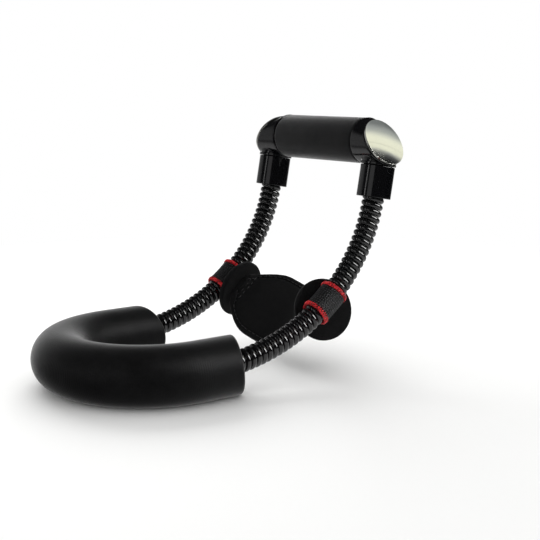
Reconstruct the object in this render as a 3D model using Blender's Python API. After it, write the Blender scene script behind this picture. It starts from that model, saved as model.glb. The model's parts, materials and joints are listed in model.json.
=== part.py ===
"""Wrist trainer: padded U-shaped armrest, two bending coil springs, wrist sling and cross handle.

Metres, +Z up, +Y from the armrest's bend towards the handle, +X to the user's right.
The origin is on the rest face, under the middle of the armrest's bend.
"""

import math

import bmesh
import bpy
from mathutils import Matrix, Vector

# Clearances
seatGap = 0.0003        # between pieces that touch on the real object
slipGap = 0.00035       # round the springs, which slide in their loops and sockets

# Armrest
halfSpacing = 0.0546    # centre plane to each spring
foamDiameter = 0.0362
foamFlat = 0.0005       # depth of the rest face under the foam
foamEndRound = 0.0020
foamEndSlant = math.radians(20)  # the bent sleeve is longer on its inner side
foamEndLean = math.radians(6)    # and leans back with the springs
foamEndInset = 0.0016   # end face's middle behind the point where a spring comes out
legLength = 0.0291      # straight part of each leg
barDiameter = 0.0150

# Sockets on the bar's ends
socketDiameter = 0.0200
socketLength = 0.0180
socketSetback = 0.0066  # front rim behind the point where a spring comes out
barSeatDepth = 0.0050
coreDiameter = 0.0060   # pins that enter the springs' bores

# Springs, as they stand with the wrist curled up
springDiameter = 0.0140
wireDiameter = 0.0032
springPitch = 0.00387
springLength = 0.1483   # free length along the curve, foam to ferrule
springSeatDepth = 0.0080  # in the ferrule
springFoamDepth = 0.0148  # in its socket, behind the point where it comes out
springExitRise = 0.0012
springStartAngle = math.radians(8.6)
springEndAngle = math.radians(79.4)
springEarlyBend = 0.75  # curvature at the lower end as a share of the mean
pointsPerCurl = 8

# Ferrules and studs
ferruleDiameter = 0.0220
ferruleLength = 0.0203
ferruleChamfer = 0.0006
neckPlugDepth = 0.0085
neckPlugDiameter = 0.0170
studFlangeDiameter = 0.0136
studFlangeThickness = 0.0020
studDiameter = 0.0060
studThreadLength = 0.0110

# Elbows and caps
handleRise = 0.0359     # spring end to the handle's axis
neckDiameter = 0.0212
collarDiameter = 0.0230
collarHeight = 0.0016
barrelDiameter = 0.0298
barrelInset = 0.0138    # barrel's inner end inside the spring's axis
capOverhang = 0.0006    # cap's sides past the barrel's
capStretch = 0.0015     # cap's height past its width
capTilt = math.radians(57)
capOffset = 0.0029      # cap's face outside the spring's axis
capThickness = 0.0016
capCrown = 0.0011
rimShare = 0.985        # outline past a softened edge, as a share of the full oval
capTopShare = 0.975     # where the cap's crown starts

# Handle
tubeDiameter = 0.0190
tubeWall = 0.0015
tubeEndInset = 0.0078   # tube's end inside the spring's axis
elbowWebThickness = 0.0022
gripDiameter = 0.0295
gripEndRound = 0.0020
insertLength = 0.0100
screwDiameter = 0.0050
screwHeadDiameter = 0.0094
screwHeadHeight = 0.0022
screwSocketAcross = 0.0040
screwLength = 0.0120

# Wrist sling
slingStation = 0.0723   # along the spring from the foam
webbingThickness = 0.0013
webbingLength = 0.0160  # along the spring, between its bound edges
bindingWidth = 0.0021
bindingProud = 0.0004
loopFootWidth = 0.0130
discDiameter = 0.0396   # round pads that hang on the loops
discThickness = 0.0034
discTilt = math.radians(20)
discDrop = 0.0050       # centre of a disc below the spring's axis
padThickness = 0.0040
padCrown = 0.0008       # fuller down the middle, on both faces
padEndWidth = 0.0180
padMiddleWidth = 0.0540
padTopRise = 0.0080     # pad's ends above the discs' centres
padSewnLength = 0.0100  # flat part sewn to a disc
padTaperLength = 0.0300
padDepth = 0.0290       # middle of the pad below the springs' axes
wristCentreDrop = -0.0010  # centre of the pad's arc below the springs' axes

halfTurn = math.pi
fullTurn = 2 * math.pi
foamRadius = foamDiameter / 2
barRadius = barDiameter / 2
springRadius = springDiameter / 2
wireRadius = wireDiameter / 2
coilRadius = springRadius - wireRadius
capWidth = barrelDiameter + 2 * capOverhang
capHeight = capWidth + capStretch
bendRise = foamRadius - foamFlat
legEnd = halfSpacing + legLength
exitPoint = Vector((0, legEnd, bendRise + springExitRise))
seatMiddle = socketSetback + socketLength - barSeatDepth / 2
barRise = exitPoint.z - seatMiddle * math.sin(springStartAngle)  # bar and sockets line up


# Materials

def material(name, red, green, blue, roughness, metallic=0.0):
    made = bpy.data.materials.new(name)
    made.use_nodes = True
    shader = made.node_tree.nodes["Principled BSDF"]
    shader.inputs["Base Color"].default_value = (red, green, blue, 1)
    shader.inputs["Roughness"].default_value = roughness
    shader.inputs["Metallic"].default_value = metallic
    made.diffuse_color = (red, green, blue, 1)
    return made


# Meshes

def circle(radius, sides, width=1.0):
    """Points of a circle in the XY plane; width stretches it along X."""
    angles = [fullTurn * (index + 0.5) / sides for index in range(sides)]
    return [Vector((radius * width * math.cos(a), radius * math.sin(a), 0)) for a in angles]


def bridge(mesh, first, second):
    count = len(first)
    for index in range(count):
        after = (index + 1) % count
        mesh.faces.new((first[index], first[after], second[after], second[index]))


def finish(name, mesh, finishMaterial=None, sharpAngle=35):
    """Turn a bmesh into an object with its faces pointing out."""
    bmesh.ops.recalc_face_normals(mesh, faces=mesh.faces)
    data = bpy.data.meshes.new(name)
    mesh.to_mesh(data)
    mesh.free()
    data.shade_smooth()
    data.set_sharp_from_angle(angle=math.radians(sharpAngle))
    made = bpy.data.objects.new(name, data)
    bpy.context.scene.collection.objects.link(made)
    if finishMaterial:
        data.materials.append(finishMaterial)
    return made


def loft(name, rings, finishMaterial=None):
    """A closed body through rings of points, with its first and last ring capped."""
    mesh = bmesh.new()
    loops = [[mesh.verts.new(point) for point in ring] for ring in rings]
    for first, second in zip(loops, loops[1:]):
        bridge(mesh, first, second)
    mesh.faces.new(loops[0])
    mesh.faces.new(loops[-1])
    return finish(name, mesh, finishMaterial)


def turned(name, profile, sides, finishMaterial=None):
    """A solid of revolution about Z through (height, radius) pairs."""
    rings = [[p + Vector((0, 0, height)) for p in circle(radius, sides)] for height, radius in profile]
    return loft(name, rings, finishMaterial)


def shell(name, outerRings, innerRings, finishMaterial=None):
    """A ring-shaped body between an outer and an inner row of loops."""
    mesh = bmesh.new()
    outer = [[mesh.verts.new(point) for point in ring] for ring in outerRings]
    inner = [[mesh.verts.new(point) for point in ring] for ring in innerRings]
    for rows in (outer, inner):
        for first, second in zip(rows, rows[1:]):
            bridge(mesh, first, second)
    bridge(mesh, outer[0], inner[0])
    bridge(mesh, outer[-1], inner[-1])
    return finish(name, mesh, finishMaterial)


def alongX(made):
    """Turn a body made about Z so that its axis runs along X."""
    made.data.transform(Matrix.Rotation(halfTurn / 2, 4, "Y"))
    return made


def moved(made, x=0.0, y=0.0, z=0.0):
    made.data.transform(Matrix.Translation((x, y, z)))
    return made


def combine(target, tool, operation="DIFFERENCE", sameAxes=True):
    """Cut a tool body out of the target, or join it to the target."""
    tool.hide_render = True
    tool.display_type = "WIRE"
    change = target.modifiers.new(tool.name, "BOOLEAN")
    change.operation = operation
    change.solver = "EXACT"
    change.object = tool
    if sameAxes:
        tool.parent = target
    return target


def empty(name, location, turn=0.0, parent=None):
    made = bpy.data.objects.new(name, None)
    made.empty_display_size = 0.01
    bpy.context.scene.collection.objects.link(made)
    world = Matrix.Translation(location) @ Matrix.Rotation(turn, 4, "X")
    made.matrix_basis = world
    if parent:
        made.parent = parent
        made.matrix_basis = worldOf[parent.name].inverted() @ world
    worldOf[name] = world
    return made


def hang(made, frame, side=0):
    """Place a piece made in the frame's own axes; side puts a piece made about a spring's axis there."""
    made.parent = frame
    made.location.x = side * halfSpacing
    return made


# Spring line

def springAngle(distance):
    share = min(max(distance / springLength, 0), 1)
    turn = springEndAngle - springStartAngle
    return springStartAngle + turn * (springEarlyBend * share + (1 - springEarlyBend) * share * share)


def springPoint(distance):
    """Centre line of a spring in the plane x = 0; straight outside its free length."""
    inside = min(max(distance, 0), springLength)
    steps = 60
    step = inside / steps
    y = 0.0
    z = 0.0
    for index in range(steps):
        angle = springAngle((index + 0.5) * step)
        y += step * math.cos(angle)
        z += step * math.sin(angle)
    over = distance - inside
    angle = springAngle(distance)
    return exitPoint + Vector((0, y + over * math.cos(angle), z + over * math.sin(angle)))


def springCurvatureRadius(distance):
    share = distance / springLength
    turn = springEndAngle - springStartAngle
    rate = turn * (springEarlyBend + 2 * (1 - springEarlyBend) * share) / springLength
    return 1 / rate


def coilPoint(side, distance, phase):
    """A point of the wire's centre; the coil is left-handed."""
    angle = springAngle(distance)
    down = Vector((0, math.sin(angle), -math.cos(angle)))
    across = Vector((1, 0, 0))
    radial = down * math.cos(phase) + across * math.sin(phase)
    return springPoint(distance) + Vector((side * halfSpacing, 0, 0)) + coilRadius * radial


def springWire(side):
    """The wire's points: a straight end, the coils, and a straight end."""
    tail = wireDiameter
    start = -springFoamDepth + tail + wireRadius
    end = springLength + springSeatDepth - tail - wireRadius
    curls = (end - start) / springPitch
    count = round(curls * pointsPerCurl)
    points = []
    for index in range(count + 1):
        distance = start + (end - start) * index / count
        points.append(coilPoint(side, distance, fullTurn * curls * index / count))
    startAxis = Vector((0, math.cos(springStartAngle), math.sin(springStartAngle)))
    endAxis = Vector((0, math.cos(springEndAngle), math.sin(springEndAngle)))
    lastPhase = fullTurn * curls
    turnStep = fullTurn / pointsPerCurl
    before = coilPoint(side, start, -turnStep) - startAxis * wireRadius
    after = coilPoint(side, end, lastPhase + turnStep) + endAxis * wireRadius
    return [before - startAxis * tail, before] + points + [after, after + endAxis * tail]


def leastSelfGap(points):
    """Smallest clear distance between curls, measured between the wire's points."""
    least = 1.0
    skip = pointsPerCurl // 2
    reach = 2 * pointsPerCurl
    for index, point in enumerate(points):
        for other in range(index + skip, min(index + reach, len(points) - 1)):
            first = points[other]
            run = points[other + 1] - first
            share = min(max((point - first).dot(run) / run.length_squared, 0), 1)
            least = min(least, (first + run * share - point).length - wireDiameter)
    return least


def spring(side, name, finishMaterial):
    points = springWire(side)
    curve = bpy.data.curves.new(name, "CURVE")
    curve.dimensions = "3D"
    curve.bevel_depth = wireRadius
    curve.bevel_resolution = 1
    curve.use_fill_caps = True
    line = curve.splines.new("POLY")
    line.points.add(len(points) - 1)
    for target, point in zip(line.points, points):
        target.co = (*(point - springPivot), 1)
    line.use_smooth = True
    curve.materials.append(finishMaterial)
    made = bpy.data.objects.new(name, curve)
    bpy.context.scene.collection.objects.link(made)
    print(f"{name}: {len(points)} points, least gap to itself {leastSelfGap(points) * 1000:.2f} mm")
    return made


# Armrest

def armrestLine(radius, sides, legSteps, bendSteps, rise, legStretch=0.0):
    """Rings of a tube that follows the armrest's U, from the right leg's end to the left leg's."""
    straight = legLength + legStretch
    places = []
    for index in range(legSteps):
        y = halfSpacing + straight * (1 - index / legSteps)
        places.append((Vector((halfSpacing, y, rise)), 0.0))
    for index in range(bendSteps + 1):
        turn = halfTurn * index / bendSteps
        x = halfSpacing * math.cos(turn)
        y = halfSpacing - halfSpacing * math.sin(turn)
        places.append((Vector((x, y, rise)), turn))
    for index in range(1, legSteps + 1):
        y = halfSpacing + straight * index / legSteps
        places.append((Vector((-halfSpacing, y, rise)), halfTurn))
    rings = []
    for centre, turn in places:
        outward = Vector((math.cos(turn), -math.sin(turn), 0))
        rings.append([centre + outward * p.x + Vector((0, 0, p.y)) for p in circle(radius, sides)])
    return rings


def armrestFoam(finishMaterial):
    """Foam sleeve with rounded ends, bored for the bar and its sockets and flat underneath."""
    sides = 20
    rings = armrestLine(foamRadius, sides, 3, 18, bendRise)
    rounds = 3
    startCap = []
    endCap = []
    for index in range(1, rounds + 1):
        turn = halfTurn / 2 * index / rounds
        radius = foamRadius - foamEndRound * (1 - math.cos(turn))
        forward = foamEndRound * math.sin(turn) - foamEndRound
        for side, cap in ((1, startCap), (-1, endCap)):
            centre = Vector((side * halfSpacing, legEnd + forward, bendRise))
            cap.append([centre + Vector((side * p.x, 0, p.y)) for p in circle(radius, sides)])
    for ring in (rings[0], rings[-1]):
        for point in ring:
            point.y -= foamEndRound
    rings = list(reversed(startCap)) + rings + endCap
    for ring in rings:
        for point in ring:
            share = min(max((point.y - halfSpacing) / (legLength - foamEndRound), 0), 1)
            sideways = math.tan(foamEndSlant) * (halfSpacing - abs(point.x))
            upright = math.tan(foamEndLean) * (bendRise - point.z)
            point.y += share * (sideways + upright - foamEndInset)
    foam = loft("armrest_foam", rings, finishMaterial)
    boreEnd = -(socketSetback + socketLength / 2)
    combine(foam, loft("foam_bore", armrestLine(barRadius + seatGap, 12, 1, 14, barRise, boreEnd)))
    front = -socketSetback + seatGap
    back = -(socketLength + socketSetback + seatGap)
    holes = (
        ("socket_hole_", back, front, socketDiameter / 2 + seatGap),
        ("spring_hole_", front - seatGap, foamDiameter, springRadius + slipGap),
    )
    for side, name in bothSides:
        for label, low, high, radius in holes:
            hole = turned(label + name, [(low, radius), (high, radius)], 16)
            combine(foam, hang(hole, exitFrame, side), sameAxes=False)
    reach = 2 * legEnd
    corners = ((-reach, -reach), (reach, -reach), (reach, reach), (-reach, reach))
    below = [[Vector((x, y, z)) for x, y in corners] for z in (-foamDiameter, 0)]
    combine(foam, loft("rest_plane", below))
    return foam


def uBar(finishMaterial):
    """Bent round bar whose ends stop in the sockets' rear bores."""
    tip = -(socketLength + socketSetback) + barSeatDepth
    return loft("u_bar", armrestLine(barRadius, 12, 1, 14, barRise, tip), finishMaterial)


def barSocket(side, name, finishMaterial):
    """Steel cup brazed on the bar's end, with a pin that centres the spring."""
    back = -(socketLength + socketSetback)
    floor = -(springFoamDepth + seatGap)
    radius = socketDiameter / 2
    wall = springRadius + slipGap
    edge = 0.0005
    core = coreDiameter / 2
    rim = -socketSetback
    profile = [(back, radius - edge), (back + edge, radius), (rim - edge, radius), (rim, radius - edge),
               (rim, wall), (floor, wall), (floor, core), (rim - edge, core), (rim, core - edge)]
    cup = turned("bar_socket_" + name, profile, 20, finishMaterial)
    hang(cup, exitFrame, side)
    seatRadius = barRadius + seatGap
    seat = turned("bar_seat_" + name, [(0, seatRadius), (2 * barSeatDepth, seatRadius)], 12)
    seat.data.transform(Matrix.Rotation(halfTurn / 2, 4, "X"))
    moved(seat, side * halfSpacing, legEnd + back + barSeatDepth + seatGap, barRise)
    combine(cup, seat, sameAxes=False)
    return cup


# Upper end

def ferrule(side, name, finishMaterial):
    """Sleeve round the spring's upper end, stepped inside for the elbow's neck."""
    radius = ferruleDiameter / 2
    neckBore = neckPlugDiameter / 2 + seatGap
    springBore = springRadius + slipGap
    step = ferruleLength - neckPlugDepth - seatGap
    profile = [(0, radius - ferruleChamfer), (ferruleChamfer, radius),
               (ferruleLength - ferruleChamfer, radius), (ferruleLength, radius - ferruleChamfer),
               (ferruleLength, neckBore), (step, neckBore), (step, springBore), (0, springBore)]
    outer = [[p + Vector((0, 0, h)) for p in circle(r, 24)] for h, r in profile]
    mesh = bmesh.new()
    loops = [[mesh.verts.new(point) for point in ring] for ring in outer]
    for first, second in zip(loops, loops[1:] + loops[:1]):
        bridge(mesh, first, second)
    return hang(finish("ferrule_" + name, mesh, finishMaterial), endFrame, side)


def springStud(side, name, finishMaterial):
    """Pin in the spring's bore, a flange over its last curl and a thread up into the elbow."""
    flange = springSeatDepth + seatGap
    top = flange + studFlangeThickness
    core = coreDiameter / 2
    bolt = studDiameter / 2
    rim = studFlangeDiameter / 2
    edge = 0.0005
    end = top + studThreadLength
    profile = [(edge, core - edge), (2 * edge, core), (flange, core), (flange, rim), (top, rim),
               (top, bolt), (end - edge, bolt), (end, bolt - edge)]
    return hang(turned("spring_stud_" + name, profile, 14, finishMaterial), endFrame, side)


def capOutline(scale, lift, sides, side):
    """Oval of the slanted end face, lifted off the face along its normal."""
    centre = Vector((side * capOffset, 0, handleRise))
    up = Vector((-side * math.cos(capTilt), 0, math.sin(capTilt)))
    out = Vector((side * math.sin(capTilt), 0, math.cos(capTilt)))
    points = []
    for p in circle(1, sides):
        flat = Vector((0, p.x * capWidth / 2 * scale, 0)) + up * (p.y * capHeight / 2 * scale)
        points.append(centre + flat + out * lift)
    return points


def elbow(side, name, finishMaterial):
    """Moulded corner: a barrel cut off at a slant, on a neck that plugs into the ferrule."""
    sides = 28
    faceLift = -(capThickness + seatGap)
    inner = -side * barrelInset
    edge = 0.0008

    def barrelRing(radius, x):
        return [Vector((x, p.x, handleRise + p.y)) for p in circle(radius, sides)]

    radius = barrelDiameter / 2
    start = barrelRing(radius, inner + side * edge)
    face = capOutline(rimShare, faceLift, sides, side)
    shoulder = capOutline(1.0, faceLift - edge, sides, side)
    middle = [a.lerp(b, 0.5) for a, b in zip(start, shoulder)]
    rings = [barrelRing(radius - edge, inner), start, middle, shoulder, face]
    body = loft("elbow_" + name, rings, finishMaterial)

    neckTop = handleRise - barrelDiameter / 4
    collarStart = ferruleLength + seatGap
    plugEnd = ferruleLength - neckPlugDepth
    collarEnd = collarStart + collarHeight
    plug = neckPlugDiameter / 2
    profile = [(plugEnd, plug - edge), (plugEnd + edge, plug), (collarStart, plug),
               (collarStart, collarDiameter / 2), (collarEnd, collarDiameter / 2),
               (collarEnd, neckDiameter / 2), (neckTop, neckDiameter / 2)]
    neck = turned("neck_" + name, profile, 24)
    belowFace = faceLift - edge
    beyondFace = [capOutline(1.6, belowFace + reach, sides, side) for reach in (0, barrelDiameter)]
    combine(neck, loft("face_plane_" + name, beyondFace))
    combine(body, neck, "UNION")

    tubeEnd = seatGap - tubeEndInset
    webOuter = tubeEnd + elbowWebThickness
    studTop = springSeatDepth + 2 * seatGap + studFlangeThickness + studThreadLength
    past = 0.001
    cuts = (
        ("tube_bore_", tubeDiameter / 2 + seatGap, -barrelInset - past, tubeEnd, 24),
        ("screw_hole_", screwDiameter / 2 + seatGap, tubeEnd - past, webOuter + past, 12),
        ("head_recess_", screwHeadDiameter / 2 + 2 * seatGap, webOuter, barrelDiameter, 16),
    )
    for label, cutRadius, low, high, count in cuts:
        tool = alongX(turned(label + name, [(low, cutRadius), (high, cutRadius)], count))
        if side < 0:
            tool.data.transform(Matrix.Rotation(halfTurn, 4, "Z"))
        moved(tool, 0, 0, handleRise)
        combine(body, tool)
    holeRadius = studDiameter / 2 + seatGap
    combine(body, turned("stud_hole_" + name, [(plugEnd - past, holeRadius), (studTop, holeRadius)], 14))
    return hang(body, endFrame, side)


def elbowCap(side, name, finishMaterial):
    """Oval cover of the slanted face: a crowned plate with a thin rim."""
    sides = 28
    edge = 0.0004
    rows = [capOutline(rimShare, -capThickness, sides, side),
            capOutline(1, -capThickness + edge, sides, side),
            capOutline(1, -edge, sides, side), capOutline(capTopShare, 0, sides, side)]
    for share in (0.75, 0.45, 0.15):
        rows.append(capOutline(share, capCrown * (1 - share * share), sides, side))
    return hang(loft("elbow_cap_" + name, rows, finishMaterial), endFrame, side)


def handleScrew(side, name, finishMaterial):
    """Socket-head screw through the elbow's web into the tube's insert."""
    under = elbowWebThickness + 2 * seatGap - tubeEndInset
    head = screwHeadDiameter / 2
    shank = screwDiameter / 2
    top = under + screwHeadHeight
    edge = 0.0005
    tip = under - screwLength
    profile = [(tip, shank - edge), (tip + edge, shank), (under, shank), (under, head),
               (top - edge, head), (top, head - edge)]
    screw = turned("handle_screw_" + name, profile, 16, finishMaterial)
    key = screwSocketAcross / 2
    socket = turned("key_socket_" + name, [(top - screwHeadHeight / 2, key), (top + key, key)], 6)
    for piece in (screw, socket):
        alongX(piece)
        if side < 0:
            piece.data.transform(Matrix.Rotation(halfTurn, 4, "Z"))
        moved(piece, 0, 0, handleRise)
    combine(screw, socket)
    return hang(screw, endFrame, side)


def pipe(name, halfLength, outer, inner, sides, finishMaterial, rounding=0.0):
    """Open tube along X, centred on the handle's axis."""
    lengths = [(-halfLength, outer - rounding), (-halfLength + rounding, outer),
               (halfLength - rounding, outer), (halfLength, outer - rounding)]
    if not rounding:
        lengths = [(-halfLength, outer), (halfLength, outer)]
    outerRings = [[p + Vector((0, 0, h)) for p in circle(r, sides)] for h, r in lengths]
    innerRings = [[p + Vector((0, 0, h)) for p in circle(inner, sides)] for h in (-halfLength, halfLength)]
    made = alongX(shell(name, outerRings, innerRings, finishMaterial))
    moved(made, 0, 0, handleRise)
    return hang(made, endFrame)


def tubeInsert(side, name, finishMaterial):
    """Threaded plug pressed into the handle tube's end."""
    outer = tubeDiameter / 2 - tubeWall - seatGap
    bore = screwDiameter / 2 + seatGap
    ends = (-tubeEndInset - insertLength, -tubeEndInset)
    rings = [[[p + Vector((0, 0, h)) for p in circle(r, 20)] for h in ends] for r in (outer, bore)]
    insert = alongX(shell("tube_insert_" + name, rings[0], rings[1], finishMaterial))
    if side < 0:
        insert.data.transform(Matrix.Rotation(halfTurn, 4, "Z"))
    moved(insert, 0, 0, handleRise)
    return hang(insert, endFrame, side)


# Sling

def slingTilted(point, side):
    """Turn a point about the spring's axis to the tilt at which the discs hang."""
    turn = -side * discTilt
    x = point.x * math.cos(turn) - point.y * math.sin(turn)
    y = point.x * math.sin(turn) + point.y * math.cos(turn)
    return Vector((side * halfSpacing + x, y, point.z))


def loopOutline(radius, foot, side, corners=20):
    """Outline of the webbing round a spring; foot is the reach of its flat, sewn side."""
    points = []
    for p in circle(radius, corners):
        x = p.x
        if foot and side * p.x < 0 and abs(p.y) < loopFootWidth / 2:
            x = -side * foot
        points.append(slingTilted(Vector((x, p.y, 0)), side))
    return points


def sweepRing(points, distance):
    """Put an outline square to the spring's curve, at a distance along it from the sling's middle."""
    turn = Matrix.Rotation(distance / slingRadius, 4, "X")
    pivot = Vector((0, -slingRadius, 0))
    return [pivot + turn @ (point - pivot) for point in points]


def webbingRing(name, side, start, end, proud, steps, finishMaterial):
    inner = springRadius + slipGap
    outer = inner + webbingThickness + proud
    stations = [start + (end - start) * index / steps for index in range(steps + 1)]
    outerRings = [sweepRing(loopOutline(outer, loopReach, side), s) for s in stations]
    innerRings = [sweepRing(loopOutline(inner, 0, side), s) for s in stations]
    return hang(shell(name, outerRings, innerRings, finishMaterial), slingFrame)


def sideDisc(side, name, finishMaterial):
    """Round pad with softened rims, tangent to the loop it is sewn on."""
    half = discThickness / 2
    radius = discDiameter / 2
    edge = 0.0009
    rings = []
    profile = ((-half, radius - edge), (-half + edge, radius), (half - edge, radius), (half, radius - edge))
    for depth, ringRadius in profile:
        away = -side * (loopReach + seatGap + half) + depth
        outline = circle(ringRadius, 32)
        rings.append([slingTilted(Vector((away, discDrop + p.x, p.y)), side) for p in outline])
    return hang(loft("side_disc_" + name, rings, finishMaterial), slingFrame)


def padLine():
    """Right half of the pad's centre line in X and drop: sewn run, straight run and arc under the wrist."""
    inset = loopReach + 2 * seatGap + discThickness + padThickness / 2
    top = slingTilted(Vector((-inset, discDrop - padTopRise, 0)), 1)
    along = Vector((math.sin(discTilt), math.cos(discTilt), 0))
    bend = top + along * padSewnLength
    across = bend.x
    drop = bend.y
    wristRadius = padDepth - wristCentreDrop
    reach = math.hypot(across, drop - wristCentreDrop)
    firstTurn = math.atan2(drop - wristCentreDrop, across) + math.acos(wristRadius / reach)

    def underWrist(turn):
        away = wristRadius * math.sin(turn)
        return Vector((wristRadius * math.cos(turn), wristCentreDrop + away, 0))

    touch = underWrist(firstTurn)
    soft = 0.4
    before = bend.lerp(top, soft)
    after = bend.lerp(touch, soft)
    line = [top, top.lerp(before, 0.35), top.lerp(before, 0.7)]
    for index in range(4):
        share = index / 3
        line.append(before.lerp(bend, share).lerp(bend.lerp(after, share), share))
    line.append(after.lerp(touch, 0.5))
    steps = 5
    for index in range(steps + 1):
        line.append(underWrist(firstTurn + (halfTurn / 2 - firstTurn) * index / steps))
    return line


def wristPad(finishMaterial):
    """Padded sling, broad under the wrist, with its tapered ends sewn to the two discs."""
    rightHalf = padLine()
    line = rightHalf + [Vector((-p.x, p.y, 0)) for p in reversed(rightHalf[:-1])]
    half = padThickness / 2
    edge = 0.0011
    total = sum((b - a).length for a, b in zip(line, line[1:]))
    walked = 0.0
    rings = []
    for index, centre in enumerate(line):
        if index:
            walked += (centre - line[index - 1]).length
        fromEnd = min(walked, total - walked)
        grown = math.sin(halfTurn / 2 * min(fromEnd / padTaperLength, 1))
        width = (padEndWidth + (padMiddleWidth - padEndWidth) * grown) / 2
        run = (line[min(index + 1, len(line) - 1)] - line[max(index - 1, 0)]).normalized()
        out = Vector((run.y, -run.x, 0))
        crown = half + padCrown * grown
        face = [(width, half - edge), (width - edge, half), (0, crown)]
        upper = face + [(-offset, depth) for offset, depth in reversed(face[:2])]
        section = upper + [(offset, -depth) for offset, depth in reversed(upper)]
        rings.append([centre + out * depth + Vector((0, 0, offset)) for offset, depth in section])
    return hang(loft("wrist_pad", rings, finishMaterial), slingFrame)


for old in list(bpy.data.objects):
    bpy.data.objects.remove(old)

foamBlack = material("foam_black", 0.020, 0.020, 0.021, 0.75)
steelBlack = material("coated_steel_black", 0.015, 0.015, 0.016, 0.22)
steelPlain = material("plain_steel", 0.50, 0.50, 0.50, 0.35, 1.0)
plasticBlack = material("gloss_black_plastic", 0.012, 0.012, 0.013, 0.12)
capPolish = material("polished_cap", 0.62, 0.62, 0.60, 0.08, 1.0)
aluminium = material("aluminium_tube", 0.70, 0.70, 0.71, 0.30, 1.0)
gripBlack = material("grip_foam", 0.018, 0.018, 0.019, 0.80)
nylonBlack = material("nylon_plug", 0.030, 0.030, 0.031, 0.50)
padBlack = material("pad_cloth", 0.016, 0.016, 0.018, 0.90)
webBlack = material("webbing_black", 0.022, 0.022, 0.024, 0.80)
bindingRed = material("binding_red", 0.60, 0.035, 0.030, 0.60)

bothSides = ((1, "right"), (-1, "left"))
worldOf = {}
springPivot = springPoint(springLength / 4)
handlePivot = springPoint(springLength * 3 / 4)
slingRadius = springCurvatureRadius(slingStation)
slingTurn = springAngle(slingStation) - halfTurn / 2
loopReach = springRadius + slipGap + webbingThickness + bindingProud

springAxis = empty("lower_flex_axis", springPivot)
handleAxis = empty("upper_flex_axis", handlePivot, 0.0, springAxis)
exitFrame = empty("socket_frame", exitPoint, springStartAngle - halfTurn / 2)
endFrame = empty("handle_frame", springPoint(springLength), springEndAngle - halfTurn / 2, handleAxis)
slingCentre = springPoint(slingStation)
slingAxisPoint = slingCentre + Matrix.Rotation(slingTurn, 3, "X") @ Vector((0, -slingRadius, 0))
slingAxis = empty("sling_slide_axis", slingAxisPoint, 0.0, springAxis)
slingFrame = empty("sling_frame", slingCentre, slingTurn, slingAxis)

armrestFoam(foamBlack)
uBar(steelPlain)
tubeRadius = tubeDiameter / 2
gripHalf = halfSpacing - barrelInset - seatGap
pipe("handle_tube", halfSpacing - tubeEndInset, tubeRadius, tubeRadius - tubeWall, 24, aluminium)
pipe("handle_grip", gripHalf, gripDiameter / 2, tubeRadius + seatGap, 24, gripBlack, gripEndRound)
wristPad(padBlack)
for side, name in bothSides:
    barSocket(side, name, steelPlain)
    hang(spring(side, "spring_" + name, steelBlack), springAxis)
    ferrule(side, name, plasticBlack)
    springStud(side, name, steelPlain)
    elbow(side, name, plasticBlack)
    elbowCap(side, name, capPolish)
    handleScrew(side, name, steelPlain)
    tubeInsert(side, name, nylonBlack)
    halfWeb = webbingLength / 2
    webbingRing("strap_loop_" + name, side, -halfWeb, halfWeb, 0, 3, webBlack)
    sideDisc(side, name, padBlack)
    edgeStart = halfWeb + seatGap
    edgeEnd = edgeStart + bindingWidth
    webbingRing("binding_lower_" + name, side, -edgeEnd, -edgeStart, bindingProud, 1, bindingRed)
    webbingRing("binding_upper_" + name, side, edgeStart, edgeEnd, bindingProud, 1, bindingRed)

print(f"lower flex axis y {springPivot.y:.5f} z {springPivot.z:.5f}")
print(f"upper flex axis y {handlePivot.y:.5f} z {handlePivot.z:.5f}")
print(f"sling slide axis y {slingAxisPoint.y:.5f} z {slingAxisPoint.z:.5f}, radius {slingRadius:.5f}")
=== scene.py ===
import json
import math

import bmesh
import bpy
from mathutils import Matrix, Vector
from mathutils.bvhtree import BVHTree

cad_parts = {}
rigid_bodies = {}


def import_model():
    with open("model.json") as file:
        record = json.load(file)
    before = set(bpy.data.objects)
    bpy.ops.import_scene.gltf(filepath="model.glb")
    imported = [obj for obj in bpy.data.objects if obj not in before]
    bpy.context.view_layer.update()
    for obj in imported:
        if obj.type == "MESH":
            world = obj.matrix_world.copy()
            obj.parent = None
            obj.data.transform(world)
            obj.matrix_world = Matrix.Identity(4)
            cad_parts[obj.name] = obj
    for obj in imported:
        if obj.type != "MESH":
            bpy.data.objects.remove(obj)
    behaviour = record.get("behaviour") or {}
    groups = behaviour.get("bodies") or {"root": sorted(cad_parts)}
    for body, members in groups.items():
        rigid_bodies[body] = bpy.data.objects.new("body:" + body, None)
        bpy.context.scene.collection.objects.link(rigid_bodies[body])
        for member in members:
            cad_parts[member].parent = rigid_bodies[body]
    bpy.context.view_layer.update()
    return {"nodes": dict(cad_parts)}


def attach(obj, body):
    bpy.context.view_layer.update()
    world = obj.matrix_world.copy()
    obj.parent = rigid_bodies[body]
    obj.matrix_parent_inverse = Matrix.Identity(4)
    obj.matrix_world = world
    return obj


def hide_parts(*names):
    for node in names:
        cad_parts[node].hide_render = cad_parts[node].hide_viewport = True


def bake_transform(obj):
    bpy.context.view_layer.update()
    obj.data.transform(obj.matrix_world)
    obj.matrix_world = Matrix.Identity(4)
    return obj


for old in list(bpy.data.objects):
    bpy.data.objects.remove(old)  # Blender's own start-up objects

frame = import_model()
cadNodes = frame["nodes"]
bothSides = ((1, "right"), (-1, "left"))
fullTurn = 2 * math.pi
print("frame loaded:", len(cadNodes), "solids")

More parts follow.
